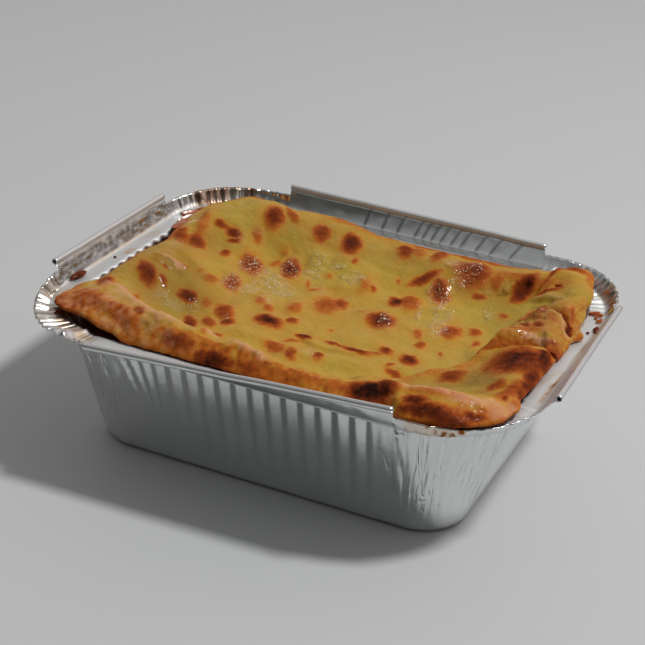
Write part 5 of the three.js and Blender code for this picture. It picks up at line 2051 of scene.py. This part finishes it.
def make_stage():
    """Pale floor, soft studio light and the camera."""
    settings = bpy.context.scene.tray_stage
    scene = bpy.context.scene
    make_floor(settings.floor_colour)
    make_sky(settings)

    lamp = bpy.data.lights.new("key_light", "AREA")
    lamp.shape = "DISK"
    lamp.size = KEY_SIZE
    lamp.energy = settings.key_power
    lamp.color = settings.key_colour
    light = new_object("key_light", lamp)
    aim = Vector(KEY_DIRECTION).normalized()
    light.location = aim * KEY_DISTANCE
    light.rotation_euler = aim.to_track_quat("Z", "Y").to_euler()

    lens = bpy.data.cameras.new("camera")
    lens.lens = CAMERA_LENS
    lens.sensor_width = SENSOR_WIDTH
    lens.clip_start = NEAREST
    camera = new_object("camera", lens)
    matrix = Matrix.Identity(4)
    for n, column in enumerate((CAMERA_RIGHT, CAMERA_UP, CAMERA_BACK, CAMERA_PLACE)):
        for k in range(3):
            matrix[k][n] = column[k]
    camera.matrix_world = matrix
    scene.camera = camera
    scene.view_settings.view_transform = "Standard"
    scene.view_settings.look = "None"


# ------------------------------------------------------------ settings


def number_setting(name, description, default, **more):
    """A number that the panel shows."""
    return bpy.props.FloatProperty(name=name, description=description, default=default, **more)


def length_setting(name, description, millimetres):
    """A length that the panel shows."""
    return number_setting(name, description, millimetres * MM, unit="LENGTH")


def colour_setting(name, description, default):
    """A colour that the panel shows."""
    return bpy.props.FloatVectorProperty(
        name=name, description=description, default=default[:3], size=3, subtype="COLOR"
    )


class TRAYMEAL_PG_foil(bpy.types.PropertyGroup):
    """Sizes and finish of the foil tray."""

    flute_depth: length_setting("Flute depth", "How far the flutes stand either side", FLUTE_DEPTH)
    crease_depth: length_setting("Crease depth", "Depth of the creases in the corners", PLEAT_DEPTH)
    pleat_depth: length_setting("Pleat depth", "Depth of the pleats round the rim's corners", 0.42)
    foil_colour: colour_setting("Foil colour", "Colour of clean foil", (0.80, 0.82, 0.82))
    roughness: number_setting(
        "Foil roughness", "How blurred the foil's reflections are", 0.15, subtype="FACTOR"
    )


class TRAYMEAL_PG_food(bpy.types.PropertyGroup):
    """Colours and small detail of the food."""

    cool_cheese: colour_setting("Pale cheese", "Cheese that browned least", linear(184, 154, 60))
    warm_cheese: colour_setting("Golden cheese", "Cheese that turned golden", linear(190, 144, 54))
    lightness: number_setting("Lightness", "Lightness of the whole crust", 1.0)
    fat_density: number_setting(
        "Fat density", "Beads of fat in a square metre where they are thickest", 1000000.0
    )
    fat_radius: length_setting("Fat bead radius", "Usual radius of a bead of fat", 0.26)


class TRAYMEAL_PG_stage(bpy.types.PropertyGroup):
    """Floor and light."""

    floor_colour: colour_setting("Floor colour", "Colour of the plain floor", (0.60, 0.615, 0.625))
    key_power: number_setting("Key light power", "Power of the studio light", 13.0, subtype="POWER")
    key_colour: colour_setting("Key light colour", "Colour of the studio light", (1.0, 0.99, 0.97))
    fill_strength: number_setting("Fill strength", "Strength of the light from all round", 1.0)
    front_light: colour_setting("Front fill", "Light from the front", (0.055, 0.057, 0.05))
    back_light: colour_setting("Back fill", "Light from the back", (0.68, 0.61, 0.60))
    low_light: colour_setting("Low fill", "Light from level with the floor", (0.175, 0.16, 0.15))
    top_light: colour_setting("Top fill", "Light from above", (0.30, 0.30, 0.30))


# ------------------------------------------------------------ operators


def finished(made, *names):
    """Runs a maker, and raises an error if a piece is missing or empty after it."""
    made()
    for name in names:
        piece = bpy.data.objects.get(name)
        if piece is None or len(piece.data.vertices) == 0:
            raise RuntimeError(name + " wasn't made")
    return {"FINISHED"}


class TRAYMEAL_OT_stage(bpy.types.Operator):
    """Add the floor, the light and the camera"""

    bl_idname = "traymeal.stage"
    bl_label = "Stage"

    def execute(self, context):
        return finished(make_stage, "floor")


class TRAYMEAL_OT_tray(bpy.types.Operator):
    """Make the fluted foil tray"""

    bl_idname = "traymeal.tray"
    bl_label = "Foil Tray"

    def execute(self, context):
        return finished(make_tray, "tray_foil")


class TRAYMEAL_OT_beads(bpy.types.Operator):
    """Roll the beads along the flanges"""

    bl_idname = "traymeal.beads"
    bl_label = "Rolled Beads"

    def execute(self, context):
        return finished(make_beads, "rim_beads")


class TRAYMEAL_OT_filling(bpy.types.Operator):
    """Make the filling under the top sheet"""

    bl_idname = "traymeal.filling"
    bl_label = "Filling"

    def execute(self, context):
        return finished(make_filling, "filling")


class TRAYMEAL_OT_cheese(bpy.types.Operator):
    """Make the browned cheese on top"""

    bl_idname = "traymeal.cheese"
    bl_label = "Browned Cheese"

    def execute(self, context):
        return finished(make_cheese, "cheese_top")


class TRAYMEAL_OT_flap(bpy.types.Operator):
    """Make the flap along the right side"""

    bl_idname = "traymeal.flap"
    bl_label = "Side Flap"

    def execute(self, context):
        return finished(make_flap, "flap_top")


class TRAYMEAL_OT_fat(bpy.types.Operator):
    """Scatter the beads of fat"""

    bl_idname = "traymeal.fat"
    bl_label = "Beads of Fat"

    def execute(self, context):
        return finished(make_fat, "fat_beads")


class TRAYMEAL_OT_crumbs(bpy.types.Operator):
    """Add the crumbs on the foil"""

    bl_idname = "traymeal.crumbs"
    bl_label = "Crumbs"

    def execute(self, context):
        return finished(make_crumbs, "orange_crumbs", "dark_crumbs")


class TRAYMEAL_OT_sauce(bpy.types.Operator):
    """Add the sauce at the edge"""

    bl_idname = "traymeal.sauce"
    bl_label = "Sauce"

    def execute(self, context):
        return finished(make_sauce, "sauce_spill")


OPERATORS = (
    TRAYMEAL_OT_stage,
    TRAYMEAL_OT_tray,
    TRAYMEAL_OT_beads,
    TRAYMEAL_OT_filling,
    TRAYMEAL_OT_cheese,
    TRAYMEAL_OT_flap,
    TRAYMEAL_OT_fat,
    TRAYMEAL_OT_crumbs,
    TRAYMEAL_OT_sauce,
)
SETTINGS = (
    ("tray_foil", TRAYMEAL_PG_foil),
    ("tray_food", TRAYMEAL_PG_food),
    ("tray_stage", TRAYMEAL_PG_stage),
)


class TRAYMEAL_PT_panel(bpy.types.Panel):
    """Lists the settings and the steps"""

    bl_label = "Tray Meal"
    bl_idname = "TRAYMEAL_PT_panel"
    bl_space_type = "VIEW_3D"
    bl_region_type = "UI"
    bl_category = "Tray Meal"

    def draw(self, context):
        layout = self.layout
        for name, group in SETTINGS:
            box = layout.box()
            for label in group.__annotations__:
                box.prop(getattr(context.scene, name), label)
        for operator in OPERATORS:
            layout.operator(operator.bl_idname)


def register():
    """Registers the settings, the steps and the panel."""
    for name, group in SETTINGS:
        bpy.utils.register_class(group)
        setattr(bpy.types.Scene, name, bpy.props.PointerProperty(type=group))
    for operator in OPERATORS:
        bpy.utils.register_class(operator)
    bpy.utils.register_class(TRAYMEAL_PT_panel)


def unregister():
    """Takes away what register added."""
    bpy.utils.unregister_class(TRAYMEAL_PT_panel)
    for operator in reversed(OPERATORS):
        bpy.utils.unregister_class(operator)
    for name, group in reversed(SETTINGS):
        delattr(bpy.types.Scene, name)
        bpy.utils.unregister_class(group)


def main():
    """Makes everything in order."""
    register()
    bpy.ops.traymeal.stage()
    bpy.ops.traymeal.tray()
    bpy.ops.traymeal.beads()
    bpy.ops.traymeal.filling()
    bpy.ops.traymeal.cheese()
    bpy.ops.traymeal.flap()
    bpy.ops.traymeal.fat()
    bpy.ops.traymeal.crumbs()
    bpy.ops.traymeal.sauce()


if __name__ == "__main__":
    main()
